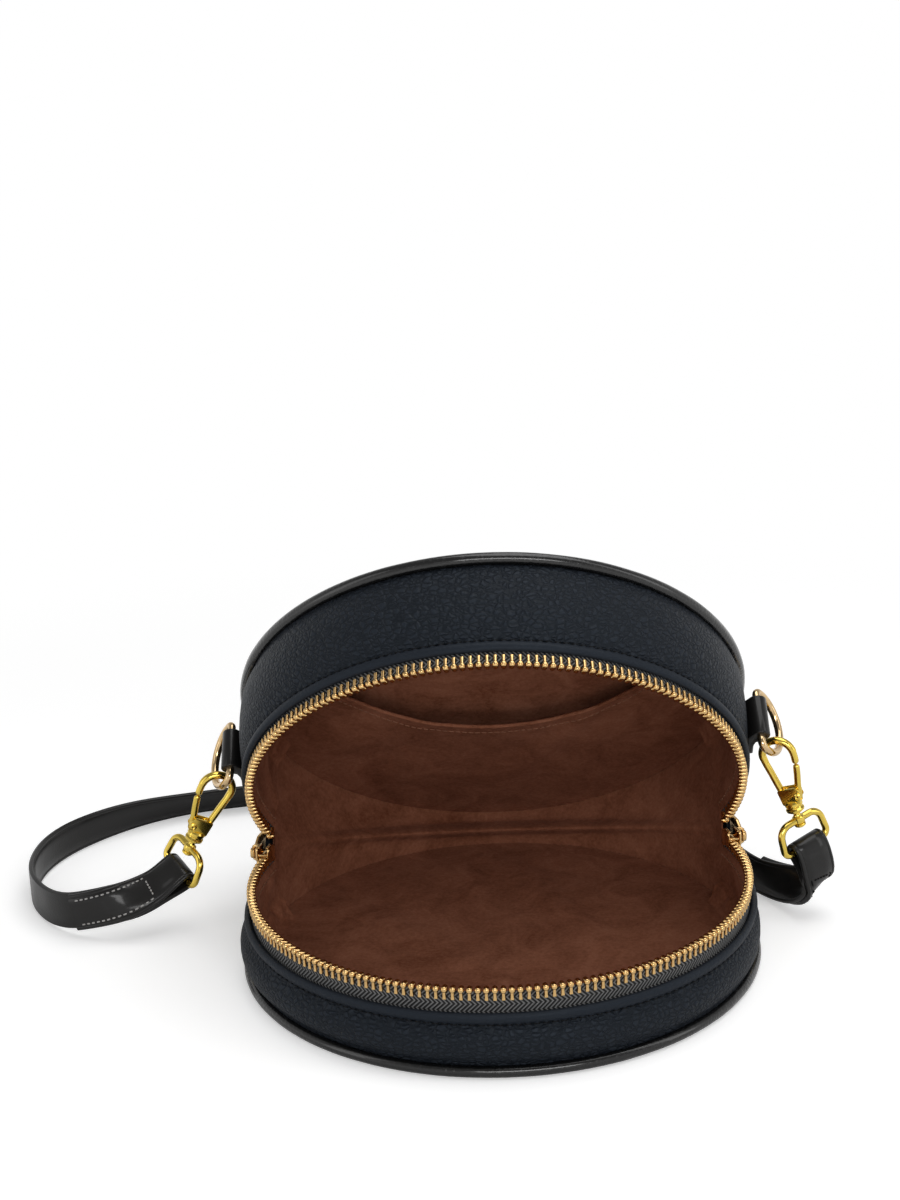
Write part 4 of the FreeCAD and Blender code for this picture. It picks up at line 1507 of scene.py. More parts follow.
def pull(side):
    place = slider_axes(side) @ Matrix.Translation((0, 0, SLIDER_FACE + SLIDER_PLATE + BAIL_RISE))
    half = PULL_WIDTH / 2
    upper = [(2.0, NECK_HALF), (-3.4, NECK_HALF), (-6.5, half), (-PULL_LENGTH, half)]
    corners = upper + [(x, -y) for x, y in reversed(upper)]
    outline = rounded(corners, [1.4, 1.5, 2.0, 3.2, 3.2, 2.0, 1.5, 1.4])
    eye = arc(0, 0, 1.05, 0, 350, 18)
    hole = arc(-PULL_LENGTH + 5, 0, 1.6, 0, 350, 18)
    tab = Shape().plate([outline, eye, hole], PULL_THICK, 0.4, place)
    return dress(tab.build("pull_tab_" + side, crease=25), "zip_metal", "pull_" + side, ["pull_" + side])


for side in SIDES:
    print(pull(side).name, PULL_LENGTH, "mm long")

# %% [markdown]
# ## D-rings
#
# A D-ring is a bent wire with a straight bar, and carries the clasp. A torus that is cut and scaled would
# get a thin wire where it is squeezed. A closed rod along a bar, two small corners and a bow keeps its
# thickness. Its place is read from the solid model's joint, so that the ring swings about its own bar.

# %% D-rings
RING_WIRE = 1.5
RING_HALF = 12.0
RING_LEG = 4.0
RING_CORNER = 2.5
RING_HANG = {"left": 60.0, "right": 56.0}


def ring_axes(side):
    """Bar centre, bar direction and the way the bow hangs."""
    swing = joint["ring_swing_" + side]
    centre = Vector(swing["pos_m"]) / MM
    wide = Vector(swing["axis"])
    forward = Vector((0, -wide.z, wide.y))
    hang = math.radians(RING_HANG[side])
    return centre, wide, Vector((SIDES[side] * math.cos(hang), 0, 0)) - forward * math.sin(hang)


def d_ring(side):
    centre, wide, hang = ring_axes(side)
    flat = [(-RING_HALF + RING_CORNER, 0), (RING_HALF - RING_CORNER, 0)]
    flat += arc(RING_HALF - RING_CORNER, RING_CORNER, RING_CORNER, -90, 0, 7)[1:]
    flat += arc(0, RING_LEG, RING_HALF, 0, 180, 40)
    flat += arc(-RING_HALF + RING_CORNER, RING_CORNER, RING_CORNER, 180, 270, 7)[:-1]
    path = [centre + wide * x + hang * y for x, y in flat]
    ring = Shape().tube(path, RING_WIRE, sides=20, closed=True).build("ring_wire_" + side)
    return dress(ring, "ring_metal", "ring_" + side, ["d_ring_" + side])


for side in SIDES:
    print(d_ring(side).name, 2 * RING_HALF, "mm wide")

# %% [markdown]
# ## Ring tabs
#
# A strip of leather is folded round the ring's bar and sewn to the wall. It could be bent by a modifier,
# but the fold is so tight that its two sides would cross. Seen from its edge, it is a barrel with a
# tongue. That outline is filled and given the tab's width, and five stitches hold it.

# %% Ring tabs
TAB_WIDTH = 16.0
TAB_OUTER = 3.5
TAB_STANDOFF = 2.1
TAB_LENGTH = 13.0
TAB_THICK = 2.6
TAB_SEAM = 6.2
TAB_STITCH = 2.2
TAB_THREAD = 0.3


def ring_tab(side):
    """Tongue on the wall and a barrel round the ring's bar, as one folded strip seen from its edge."""
    centre, wide, _ = ring_axes(side)
    axis_foot = opened(Vector((0, 0, HINGE.z)))
    from_axis = centre - axis_foot
    out = (from_axis - wide * from_axis.dot(wide)).normalized()
    along = wide.cross(out)
    if along.dot(Vector((0, -wide.z, wide.y))) > 0:
        along = -along
    wall = -TAB_OUTER - TAB_STANDOFF
    barrel = arc(0, 0, TAB_OUTER, 75, 235, 16)
    face = wall + TAB_THICK
    tongue = [(4.5, face + 1.0), (7.0, face), (TAB_LENGTH - 0.5, face - 0.5)]
    back = [(TAB_LENGTH, wall - 0.3), (TAB_LENGTH * 0.5, wall + 0.15), (0.5, wall + 0.4)]
    outline = tongue[::-1] + arc(0, 0, TAB_OUTER, 20, 60, 4) + barrel + back[::-1]
    crosswise = along.cross(out)
    place = axes(centre, along, crosswise)
    tab = Shape().plate([outline], TAB_WIDTH, 0.5, place).build("tab_" + side, crease=60)
    threads = Shape()
    for across in spread(-TAB_WIDTH / 2 + 2, TAB_WIDTH / 2 - 2, 5):
        here = centre + along * TAB_SEAM + out * (face + 0.25) + crosswise * across
        stitch(threads, here, crosswise, TAB_STITCH, TAB_THREAD)
    dress(threads.build("tab_seam_" + side), "strap_leather", "back_half", material=DARK_THREAD)
    return dress(tab, "strap_leather", "back_half", ["ring_tab_" + side])


for side in SIDES:
    print(ring_tab(side).name, TAB_WIDTH, "mm wide")

# %% [markdown]
# ## Axes of a clasp
#
# A swivel clasp is small and tilted, and would be hard to draw where it hangs. It is drawn upright in its
# own axes instead: local Z runs up the hook and local X points to the gate. The axes are then read from
# the solid model's swivel and gate joints, so that each piece turns about the same line as the solid.


# %% Axes of a clasp
def clasp_axes(side):
    swivel = joint["hook_swivel_" + side]
    origin = Vector(swivel["pos_m"]) / MM
    up = Vector(swivel["axis"]).normalized()
    pivot = Vector(joint["gate_press_" + side]["pos_m"]) / MM
    right = square_to(pivot - origin, up)
    return origin, up, right


def upright(outline_place, offset):
    """Placement for a plate drawn in the clasp's XZ plane, moved along its Y axis."""
    return outline_place @ Matrix.Rotation(math.pi / 2, 4, "X") @ Matrix.Translation((0, 0, -offset))


CLASP_PLACE = {}
for side in SIDES:
    clasp_origin, clasp_up, clasp_right = clasp_axes(side)
    CLASP_PLACE[side] = axes(clasp_origin, clasp_right, clasp_up)
    print(side, "clasp at", [round(v, 1) for v in clasp_origin], "mm")

# %% [markdown]
# ## Hooks
#
# The hook is cast: an arm that rises into a bow, a plate with a slot for the gate, and a turned collar. A
# sculpted lump would look cast but would not fit the ring. So the arm is a rod, the plate is two cheeks
# over a core, and the collar is an outline turned round the swivel's axis.

# %% Hooks
BOW_CENTRE = 24.0
BOW_RADIUS = 6.05
ARM_RADIUS = 1.35
NOSE_END = 19.4
PLATE_HALF = 4.4
PLATE_FOOT = 3.5
PLATE_TOP = 10.0
PLATE_THICK = 4.2
GATE_SLOT = 2.1
# Radius and height of the collar's outline, from its lower face upwards.
COLLAR = [(0, 0.05), (2.9, 0.05), (3.5, 0.5), (3.6, 1.3), (3.0, 1.9),
          (2.9, 2.3), (3.5, 2.9), (3.4, 3.9), (2.8, 4.6), (0, 4.6)]


def hook(side, place):
    body = Shape()
    path = [(-3.0, 0, 8.6), (-3.7, 0, 12.0), (-4.6, 0, 16.5), (-5.6, 0, 21.0)]
    path += [(x, 0, z) for x, z in arc(0, BOW_CENTRE, BOW_RADIUS, 178, 0, 26)]
    path += [(BOW_RADIUS, 0, 22.0), (BOW_RADIUS - 0.1, 0, NOSE_END + ARM_RADIUS)]
    radii = [ARM_RADIUS + (0.12 if z > BOW_CENTRE else 0.0) for _, _, z in path]
    body.tube(path, radii, sides=18, flat=1.12, across=(1, 0, 0), place=place)
    cheek = (PLATE_THICK - GATE_SLOT) / 2
    corners = [(-PLATE_FOOT, 3.4), (PLATE_FOOT, 3.4), (PLATE_HALF + 0.2, PLATE_TOP - 1.4)]
    corners += [(PLATE_HALF - 1.2, PLATE_TOP + 0.2), (-PLATE_HALF, PLATE_TOP)]
    outline = rounded(corners, [0.9, 0.9, 1.4, 0.9, 0.9])
    for face in (-1, 1):
        body.plate([outline], cheek, 0.32, upright(place, face * (PLATE_THICK - cheek) / 2))
    top = PLATE_TOP - 0.4
    core = rounded([(-3.3, 3.6), (-0.9, 3.6), (-0.9, top), (-PLATE_HALF + 0.3, top)], 0.3)
    body.plate([core], PLATE_THICK - 0.4, 0.2, upright(place, 0))
    body.turned(COLLAR, place=place)
    made = body.build("hook_" + side, crease=25)
    return dress(made, "clasp_metal", "hook_" + side, ["clasp_hook_" + side])


for side in SIDES:
    print(hook(side, CLASP_PLACE[side]).name, "with a bow of", BOW_RADIUS, "mm")

# %% [markdown]
# ## Gates and rivets
#
# A sprung gate closes the hook's mouth and turns on a rivet, whose domed heads show on both faces of the
# plate. Gate and hook could be one mesh, but the gate has to open. So the gate is a flattened rod with a
# body of its own, and the rivet heads, which have a small dimple, ride on the hook.

# %% Gates and rivets
GATE_X = 3.0
GATE_Z = 6.6
GATE_TIP = 18.0
GATE_RADIUS = 1.3
GATE_FLAT = 0.78
RIVET_RADIUS = 1.5
# Radius and height of a rivet head's outline.
RIVET_DOME = [(0, 0), (RIVET_RADIUS, 0), (RIVET_RADIUS, 0.25), (RIVET_RADIUS * 0.8, 0.55),
              (0.7, 0.7), (0.45, 0.5), (0, 0.45)]


def gate(side, place):
    path = [(GATE_X, 0, GATE_Z - 0.4), (GATE_X + 0.9, 0, 10.5)]
    path += [(GATE_X + 2.0, 0, 15.0), (GATE_X + 2.6, 0, GATE_TIP)]
    blade = Shape().tube(path, GATE_RADIUS, sides=18, flat=GATE_FLAT, across=(1, 0, 0), place=place)
    return dress(blade.build("gate_" + side), "clasp_metal", "gate_" + side, ["clasp_gate_" + side])


def rivet(side, place):
    pin = Shape()
    for face in (-1, 1):
        turn = Matrix.Rotation(-face * math.pi / 2, 4, "X")
        foot = Matrix.Translation((GATE_X, face * (PLATE_THICK / 2 - 0.1), GATE_Z))
        pin.turned(RIVET_DOME, sides=20, place=place @ foot @ turn)
    return dress(pin.build("rivet_" + side), "clasp_metal", "hook_" + side, ["gate_pin_" + side])


for side in SIDES:
    print(gate(side, CLASP_PLACE[side]).name, rivet(side, CLASP_PLACE[side]).name)

# %% [markdown]
# ## Strap loops
#
# Below the hook a wire loop takes the strap, and a turned boss on it holds the swivel's pin. A bevelled
# curve would do for the wire. The same rod as for the ring is used, along a rounded frame that widens
# towards the strap. Each loop is turned about the swivel, to lie as it does in the picture.

# %% Strap loops
LOOP_WIRE = 1.4
LOOP_HALF = 10.8
LOOP_TOP = 3.6
LOOP_BAR = 15.0
LOOP_WAY = {"left": Vector((0.58, -0.74, -0.34)), "right": Vector((0.82, 0.51, 0.25))}
# Radius and height of the boss's outline, from its lower end upwards.
LOOP_BOSS = [(0, -6.6), (1.5, -6.6), (2.2, -6.1), (2.2, -5.4), (1.7, -5.0), (2.3, -4.6),
             (2.5, -3.6), (2.3, -2.5), (1.6, -1.9), (1.3, -1.2), (1.3, 0.2), (0, 0.2)]


def strap_loop(side, place):
    loop = Shape()
    narrow = LOOP_HALF - 1.2
    corners = [(-narrow, -LOOP_TOP), (narrow, -LOOP_TOP), (LOOP_HALF, -LOOP_BAR), (-LOOP_HALF, -LOOP_BAR)]
    path = [(x, 0, z) for x, z in rounded(corners, [4.8, 4.8, 2.6, 2.6], steps=10)]
    loop.tube(path, LOOP_WIRE, sides=18, closed=True, place=place)
    loop.turned(LOOP_BOSS, place=place)
    return dress(loop.build("loop_" + side, crease=32), "clasp_metal", "back_half", ["strap_loop_" + side])


for side in SIDES:
    clasp_origin, clasp_up, _ = clasp_axes(side)
    loop_place = axes(clasp_origin, square_to(LOOP_WAY[side], clasp_up), clasp_up)
    print(strap_loop(side, loop_place).name, 2 * LOOP_HALF, "mm wide")

# %% [markdown]
# ## Route of the strap
#
# The leather strap stands on its edge on the floor, leaves one clasp, passes behind the bag and rises to
# the other. A simulation would find a way for it, but not the one in the picture. So its route is a list
# of given points, and its ends start at the bars of the two loops.

# %% Route of the strap
STRAP_Z = 8.2
STRAP_LEAD = 14.0
LEFT_WAY = Vector((-0.95, -0.10, -0.30))
RIGHT_WAY = Vector((0.40, -0.25, -0.85))
# Each point of the route has its lift above the strap's height on the floor.
FLOOR_ROUTE = [(-153, 19.5, 5.8), (-175, 27, 0), (-192, 57, 0), (-190, 95, 0), (-167, 122, 0),
               (-135, 138, 0), (-95, 146, 0), (-40, 148, 0), (25, 136, 0), (70, 100, 0),
               (92, 66, 0), (103, 40, 0), (117, 24, 1.6)]


def loop_bar(side):
    """Middle and direction of the bar that the strap goes round."""
    origin, up, _ = clasp_axes(side)
    return origin - up * LOOP_BAR, square_to(LOOP_WAY[side], up)


LEFT_EYE, LEFT_BAR = loop_bar("left")
RIGHT_EYE, RIGHT_BAR = loop_bar("right")
ROUTE = [LEFT_EYE, LEFT_EYE + square_to(LEFT_WAY, LEFT_BAR) * STRAP_LEAD]
ROUTE += [Vector((x, y, STRAP_Z + lift)) for x, y, lift in FLOOR_ROUTE]
ROUTE += [RIGHT_EYE + square_to(RIGHT_WAY, RIGHT_BAR) * STRAP_LEAD, RIGHT_EYE]
print("the route has", len(ROUTE), "points")

# %% [markdown]
# ## A smooth line along the route
#
# Leather bends in long curves and has no kinks. Straight runs between the points would show as facets. So
# a NURBS curve, which the points only guide, is turned into a line of vertices and thrown away.


# %% A smooth line along the route
def smooth_route(points):
    """Points of a smooth curve guided by the route's points."""
    curve = bpy.data.curves.new("route", "CURVE")
    curve.dimensions = "3D"
    spline = curve.splines.new("NURBS")
    spline.points.add(len(points) - 1)
    for knot, point in zip(spline.points, points):
        knot.co = (*point, 1)
    spline.order_u = 3
    spline.use_endpoint_u = True
    spline.resolution_u = 24
    holder = bpy.data.objects.new("route", curve)
    mesh = bpy.data.meshes.new_from_object(holder)
    path = [v.co.copy() for v in mesh.vertices]
    bpy.data.objects.remove(holder)
    bpy.data.curves.remove(curve)
    bpy.data.meshes.remove(mesh)
    return path


SMOOTH_LINE = smooth_route(ROUTE)
print("the smooth line has", len(SMOOTH_LINE), "points")

# %% [markdown]
# ## Even steps along the strap
#
# The strap's sections should be equally far apart, so that its faces are alike. The curve's own points
# are not: they crowd where the route's points are close. So the line is walked from end to end, and a
# point is put down at every step.

# %% Even steps along the strap
STATION_STEP = 1.6


def evenly(path, step):
    """The same path with evenly spaced points, and its length."""
    runs = [0.0]
    for a, b in zip(path, path[1:]):
        runs.append(runs[-1] + (b - a).length)
    count = int(runs[-1] / step)
    points = []
    i = 0
    for run in spread(0, runs[-1], count + 1):
        while i < len(path) - 2 and runs[i + 1] < run:
            i += 1
        share = (run - runs[i]) / max(1e-9, runs[i + 1] - runs[i])
        points.append(path[i].lerp(path[i + 1], min(1.0, share)))
    return points, runs[-1]


STRAP_PATH, STRAP_LENGTH = evenly(SMOOTH_LINE, STATION_STEP)
print("strap", round(STRAP_LENGTH, 1), "mm long,", len(STRAP_PATH), "stations")

# %% [markdown]
# ## How the strap twists and leans
#
# At a clasp the strap's width lies along the bar, and on the floor it stands upright, so it twists
# between them. Behind the bag it leans back. A curve's own tilt could do this, but it is hard to aim.
# Here every station gets its own three directions, eased from the bar's to the standing ones.

# %% How the strap twists and leans
STRAP_WIDTH = 15.0
TWIST_LENGTH = 46.0
LEAN = math.radians(35)
LEAN_FROM = 120.0
LEAN_FULL = 200.0
LEAN_SHIFT = 5.0


def strap_stations():
    """At each station: its point, the ways along, across and through the strap, and its run."""
    stations = []
    last = len(STRAP_PATH) - 1
    for i, point in enumerate(STRAP_PATH):
        way = (STRAP_PATH[min(last, i + 1)] - STRAP_PATH[max(0, i - 1)]).normalized()
        run = STRAP_LENGTH * i / last
        start = ease(run / TWIST_LENGTH)
        end = ease((STRAP_LENGTH - run) / TWIST_LENGTH)
        near = min(run, STRAP_LENGTH - run)
        lean = LEAN * ease((near - LEAN_FROM) / (LEAN_FULL - LEAN_FROM))
        standing = Vector((0, math.sin(lean), -math.cos(lean)))
        wide = standing * (start * end) + LEFT_BAR * (1 - start) - RIGHT_BAR * (1 - end)
        wide = square_to(wide, way)
        place = point + Vector((0, LEAN_SHIFT * lean / LEAN, (math.cos(lean) - 1) * STRAP_WIDTH / 2))
        stations.append((place, way, wide, way.cross(wide), run))
    return stations


STATIONS = strap_stations()
print("the strap leans", round(math.degrees(LEAN)), "degrees behind the bag")

# %% [markdown]
# ## Section of the strap
#
# Cut across, the strap is a flat band with rounded edges and a creased line beside each edge, as a heated
# tool leaves it. A box with a bevel would lose that line. At an end two plies lie on each other, and
# round the bar they part, so their distance is eased as well.

# %% Section of the strap
FACE_HALF = [(2.5, 1.12), (5.7, 1.1), (5.95, 0.88), (6.2, 1.1), (6.9, 1.02), (7.35, 0.65), (7.5, 0.0)]
FACE_LINE = [(-w, t) for w, t in reversed(FACE_HALF)] + FACE_HALF
BACK_LINE = [(6.9, -1.02), (5.0, -1.1), (0.0, -1.1), (-5.0, -1.1), (-6.9, -1.02)]
FOLD_RADIUS = 2.7
PLY_HALF = 1.15
LAP_SETTLE = 12.0


def ply_gap(run):
    """Distance of each ply from the middle: round the bar at the end, then close together."""
    return FOLD_RADIUS + (PLY_HALF - FOLD_RADIUS) * ease(run / LAP_SETTLE)


def section(centre, wide, out):
    return [centre + wide * w + out * t for w, t in FACE_LINE + BACK_LINE]


print("plies part from", 2 * PLY_HALF, "to", 2 * FOLD_RADIUS, "mm round the bar")

# %% [markdown]
# ## Ribbon of the strap
#
# At each end the strap goes round the loop's bar and is sewn back on itself. Lap, fold and strap could be
# three pieces, but the real one is a single strip. So one skin runs through all of them. It is cut in two
# behind the bag, where the pieces meet face to face, so that each end is a piece of its own.

# %% Ribbon of the strap
LAP_LENGTH = 46.0
LAP_FADE = 40.0
CUT_X = -60.0
BEHIND_Y = 100.0


def lap_sections(stations, runs):
    """Sections of the sewn-back end, from its cut edge to the bar."""
    laps = [(s, run) for s, run in zip(stations, runs) if run <= LAP_LENGTH]
    return [section(s[0] + s[3] * ply_gap(run), s[2], s[3]) for s, run in laps][::-1]


def fold_sections(station, backwards, steps=12):
    """Sections round the bar, from the lap's side to the strap's side."""
    eye, _, wide, face, _ = station
    rings = []
    for a in spread(0, math.pi, steps)[1:-1]:
        out = face * math.cos(a) + backwards * math.sin(a)
        rings.append(section(eye + out * FOLD_RADIUS, wide, out))
    return rings


def own_section(station):
    """Section of the strap itself, beside its lap at the ends."""
    point, _, wide, face, run = station
    near = min(run, STRAP_LENGTH - run)
    offset = ply_gap(near) * (1 - min(1.0, max(0.0, (near - LAP_LENGTH) / LAP_FADE)))
    return section(point - face * offset, wide, -face)


CUT = next(i for i, s in enumerate(STATIONS) if s[0].y > BEHIND_Y and s[0].x > CUT_X)
runs_from_left = [s[4] for s in STATIONS]
runs_from_right = [STRAP_LENGTH - s[4] for s in STATIONS]
left_rings = lap_sections(STATIONS, runs_from_left)
left_rings += fold_sections(STATIONS[0], -STATIONS[0][1])
left_rings += [own_section(s) for s in STATIONS[:CUT + 1]]
right_rings = lap_sections(STATIONS[::-1], runs_from_right[::-1])
right_rings += fold_sections(STATIONS[-1], STATIONS[-1][1])
right_rings += [own_section(s) for s in STATIONS[:CUT - 1:-1]]
strap_left = Shape().skin(left_rings).build("strap_left", crease=50)
strap_right = Shape().skin(right_rings).build("strap_right", crease=50)
print("cut at station", CUT, "of", len(STATIONS))

# %% [markdown]
# ## Stitches of the laps
#
# A lap is sewn along both edges and once across, near the bar. Both laps are sewn with the same dark
# thread; on the left one it is painted pale, a painted highlight where it catches the light. The stitches
# are short rods again. Each end of a rod is found on the lap's outer face, by its distance from the bar
# and from the middle line, so the rows follow the twist.

# %% Stitches of the laps
STRAP_THICK = 2.2
LAP_SEAM_START = 13.0
LAP_SEAM_END = 44.0
LAP_SEAM_SIDE = 5.0
LAP_STITCH = 2.1
CROSS_STITCH = 1.1
LAP_STATIONS = 40


def lap_point(stations, runs, run, across):
    """A point on the lap's outer face, at a distance from the bar and from the middle line."""
    i = min(range(len(stations)), key=lambda k: abs(runs[k] - run))
    point, way, wide, face, _ = stations[i]
    slip = (run - runs[i]) * (1 if runs[-1] > runs[0] else -1)
    return point + way * slip + face * (ply_gap(run) + STRAP_THICK / 2 + 0.02) + wide * across


def lap_seam(side, stations, runs):
    threads = Shape()
    count = int((LAP_SEAM_END - LAP_SEAM_START) / LAP_STITCH)
    for across in (-LAP_SEAM_SIDE, LAP_SEAM_SIDE):
        for k in range(count):
            a = lap_point(stations, runs, LAP_SEAM_START + (k + 0.2) * LAP_STITCH, across)
            b = lap_point(stations, runs, LAP_SEAM_START + (k + 0.8) * LAP_STITCH, across)
            stitch(threads, (a + b) / 2, b - a, (b - a).length, THREAD_RADIUS)
    for across in spread(-LAP_SEAM_SIDE + LAP_STITCH, LAP_SEAM_SIDE - LAP_STITCH, 5):
        a = lap_point(stations, runs, LAP_SEAM_START, across - CROSS_STITCH / 2)
        b = lap_point(stations, runs, LAP_SEAM_START, across + CROSS_STITCH / 2)
        stitch(threads, (a + b) / 2, b - a, (b - a).length, THREAD_RADIUS)
    return threads.build("lap_seam_" + side)


seams = {
    "left": lap_seam("left", STATIONS[:LAP_STATIONS], runs_from_left[:LAP_STATIONS]),
    "right": lap_seam("right", STATIONS[::-1][:LAP_STATIONS], runs_from_right[::-1][:LAP_STATIONS]),
}
print([seam.name for seam in seams.values()])

# %% [markdown] ## How the strap moves The strap lies on the floor with the front half, and its ends
# hang from the back half. Weights painted by hand could share it between them. Here both pieces and the
# stitches of their laps are baked in place, and get their finish and thread.


def bend_with_clasp(obj):
    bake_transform(obj)


# The left lap's stitches take the thread with the painted highlight, the right lap's the plain dark one.
for side, obj, thread_look in (("left", strap_left, PAINTED_HIGHLIGHT_THREAD), ("right", strap_right, DARK_THREAD)):
    bend_with_clasp(obj)
    bend_with_clasp(seams[side])
    dress(seams[side], "strap_leather", material=thread_look)
dress(strap_left, "strap_leather", replaces=["shoulder_strap", "strap_lap_left"])
dress(strap_right, "strap_leather", replaces=["strap_lap_right"])

# %% [markdown]
# ## What is left of the solids
#
# Boards stiffen the panels and walls, and a small spring closes each gate. They are hidden, or nearly so.
# They could be drawn again, but the solid model already has their shape. So these solids stay, and only
# get a look.

# %% Solids that keep their shape
BOARDS = ("front_panel_board", "back_panel_board", "front_gusset_board", "back_gusset_board")
for node in BOARDS:
    dress(frame["nodes"][node], "stiffener")
for side in SIDES:
    dress(frame["nodes"]["gate_spring_" + side], "spring_steel")
print(len(BOARDS), "boards and", len(SIDES), "springs keep their shape")

# %% [markdown]
# ## Camera
#
# The picture was taken from a little above, three quarters of a metre away. A camera could be moved by
# eye until the outlines meet. Its place, angles and lens were instead worked out from the rims and the
# rows of teeth. It is then built from three square directions, which are turned one after the other.

# %% Camera
TARGET = Vector((0, 0, 40.0))
DISTANCE = 750.0
ELEVATION = math.radians(23.58)
PAN = math.radians(-1.12)
TILT = math.radians(7.23)
ROLL = math.radians(-2.0)
# Focal length as a share of the picture's longer side.
FOCAL_SHARE = 1996 / 1200
SENSOR = 36.0


def turn(first, second, angle):
    """Two square directions after a turn from the first towards the second."""
    c = math.cos(angle)
    s = math.sin(angle)
    return first * c + second * s, second * c - first * s


sight = Vector((0, math.cos(ELEVATION), -math.sin(ELEVATION)))
upward = Vector((0, math.sin(ELEVATION), math.cos(ELEVATION)))
rightward = Vector((1, 0, 0))
eye_point = TARGET - sight * DISTANCE
sight, rightward = turn(sight, rightward, PAN)
sight, upward = turn(sight, upward, TILT)
rightward, upward = turn(rightward, upward, ROLL)
camera_data = bpy.data.cameras.new("camera")
camera_data.sensor_width = SENSOR
camera_data.lens = FOCAL_SHARE * SENSOR
camera_data.clip_start = 0.01
camera = bpy.data.objects.new("camera", camera_data)
bpy.context.scene.collection.objects.link(camera)
camera.matrix_world = axes(eye_point * MM, rightward, -sight)
bpy.context.scene.camera = camera
print("camera at", [round(v) for v in eye_point], "mm, lens", round(camera_data.lens, 1))

# %% [markdown]
# ## Floor
#
# The bag lies on a plain white sheet that keeps a soft shadow. More light on it would bleach the bag
# too. So the floor is pale, glows a little to the camera alone, and fades to pure white further out,
# where there is no shadow to keep. Mirrors see that white as well.

# %% Floor
FLOOR_SIZE = 60.0
WHITE_FROM = 0.22
WHITE_TO = 0.6
FLOOR_GLOW = 0.36


def seen_rays(tree):
    """The ray node, a mask of what camera, mirrors and glass see, and one without the camera."""
    rays = tree.nodes.new("ShaderNodeLightPath")
    mirrored = math_node(tree, "MAXIMUM", rays.outputs["Is Glossy Ray"], rays.outputs["Is Transmission Ray"])
    return rays, math_node(tree, "MAXIMUM", rays.outputs["Is Camera Ray"], mirrored), mirrored


def floor():
    mesh = bpy.data.meshes.new("floor")
    s = FLOOR_SIZE / 2
    mesh.from_pydata([(-s, -s, 0), (s, -s, 0), (s, s, 0), (-s, s, 0)], [], [(0, 1, 2, 3)])
    obj = bpy.data.objects.new("floor", mesh)
    bpy.context.scene.collection.objects.link(obj)
    material, tree, shader = new_material("floor", (0.9, 0.9, 0.9), 0.9, Specular_IOR_Level=0.1)
    rays, seen, _ = seen_rays(tree)
    glow = math_node(tree, "MULTIPLY", rays.outputs["Is Camera Ray"], FLOOR_GLOW)
    shader.inputs["Emission Color"].default_value = (1, 1, 1, 1)
    tree.links.new(glow, shader.inputs["Emission Strength"])
    place = tree.nodes.new("ShaderNodeTexCoord")
    far = add_node(tree, "ShaderNodeVectorMath", {"operation": "LENGTH"})
    tree.links.new(place.outputs["Object"], far.inputs[0])
    fade = add_node(tree, "ShaderNodeMapRange", {"interpolation_type": "SMOOTHSTEP"},
                    From_Min=WHITE_FROM, From_Max=WHITE_TO)
    tree.links.new(far.outputs["Value"], fade.inputs["Value"])
    white = add_node(tree, "ShaderNodeEmission", Strength=1.0)
    mix = tree.nodes.new("ShaderNodeMixShader")
    tree.links.new(math_node(tree, "MULTIPLY", fade.outputs["Result"], seen), mix.inputs[0])
    tree.links.new(shader.outputs["BSDF"], mix.inputs[1])
    tree.links.new(white.outputs["Emission"], mix.inputs[2])
    tree.links.new(mix.outputs["Shader"], tree.nodes["Material Output"].inputs["Surface"])
    mesh.materials.append(material)


floor()
print("the floor is white from", WHITE_TO, "m outwards")

# %% [markdown]
# ## Lights
#
# A studio lights such a bag with wide soft boxes. A sun lamp would give hard shadows and pin-point
# glints. One wide area light hangs above, two tall ones stand at the sides for the metal, and a broad one
# fills the front.

# %% Lights
# Place, size and power of each light, in metres and watts.
LIGHTS = {
    "above": ((0.2, 0.1, 1.1), (0.9, 0.8), 5.0),
    "left": ((-1.2, -0.5, 0.6), (0.5, 1.2), 2.0),
    "right": ((1.2, -0.3, 0.7), (0.4, 1.2), 2.5),
    "front": ((0.2, -1.25, 0.65), (1.0, 0.3), 6.0),
}
LIT_POINT = Vector((0, 0, 0.05))


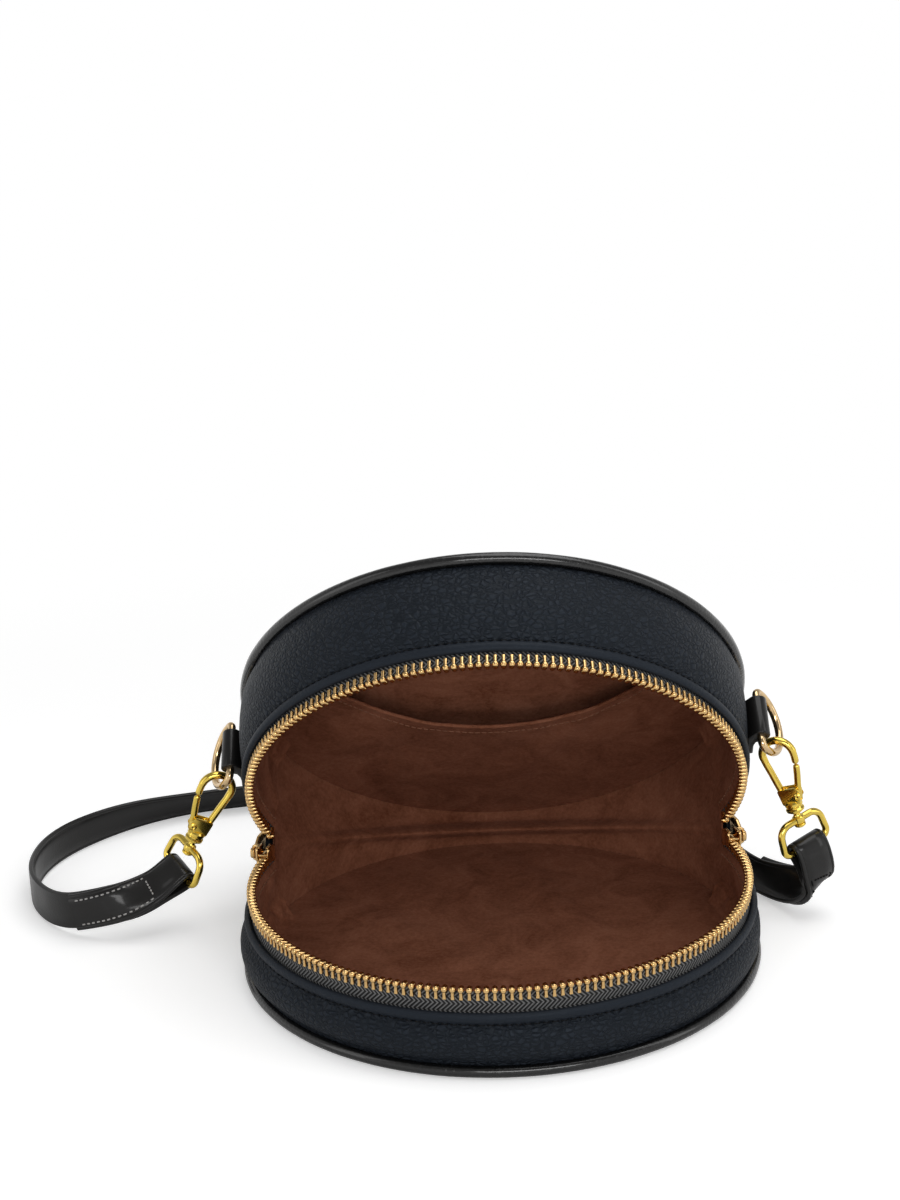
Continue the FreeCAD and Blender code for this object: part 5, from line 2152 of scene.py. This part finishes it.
def soft_light(name, place, size, power):
    data = bpy.data.lights.new(name, "AREA")
    data.shape = "RECTANGLE"
    data.size, data.size_y = size
    data.energy = power
    lamp = bpy.data.objects.new(name, data)
    bpy.context.scene.collection.objects.link(lamp)
    lamp.location = place
    aim = LIT_POINT - Vector(place)
    lamp.rotation_euler = aim.to_track_quat("-Z", "Y").to_euler()


for lamp_name, (lamp_place, lamp_size, lamp_power) in LIGHTS.items():
    soft_light(lamp_name, lamp_place, lamp_size, lamp_power)
print("lights:", list(LIGHTS))

# %% [markdown]
# ## Surroundings
#
# Round the bag is a white room. A photograph of a room could light it, but it would be one more file. The
# world is plain white to the camera and dim as soft light. In mirrors it grows darker towards the
# ceiling, because polished metal needs something dark to show its shape.

# %% Surroundings
AMBIENT = 0.3
DIMS_FROM = 0.15
DIMS_TO = 0.7
MIRRORED_WALL = 0.75
MIRRORED_CEILING = 0.3


def surroundings():
    """White all round to the camera; in mirrors the ceiling is dim, and as soft light all is dim."""
    world = bpy.data.worlds.new("surroundings")
    bpy.context.scene.world = world
    world.use_nodes = True
    tree = world.node_tree
    back = tree.nodes["Background"]
    rays, _, mirrored = seen_rays(tree)
    place = tree.nodes.new("ShaderNodeTexCoord")
    split = tree.nodes.new("ShaderNodeSeparateXYZ")
    tree.links.new(place.outputs["Generated"], split.inputs[0])
    ceiling = add_node(tree, "ShaderNodeMapRange", From_Min=DIMS_FROM, From_Max=DIMS_TO,
                       To_Min=MIRRORED_WALL, To_Max=MIRRORED_CEILING)
    tree.links.new(split.outputs["Z"], ceiling.inputs["Value"])
    plain = math_node(tree, "MULTIPLY", math_node(tree, "SUBTRACT", 1.0, mirrored), AMBIENT)
    lit = math_node(tree, "ADD", plain, math_node(tree, "MULTIPLY", mirrored, ceiling.outputs["Result"]))
    tree.links.new(math_node(tree, "MAXIMUM", lit, rays.outputs["Is Camera Ray"]), back.inputs["Strength"])
    back.inputs["Color"].default_value = (1, 1, 1, 1)


surroundings()
bpy.context.scene.view_settings.view_transform = "Standard"
print("soft light of the room:", AMBIENT)

# %% [markdown]
# ## Finish
#
# A dressed part should stay about as large as its solid model. It could be judged by eye, but a few
# millimetres are easy to miss.
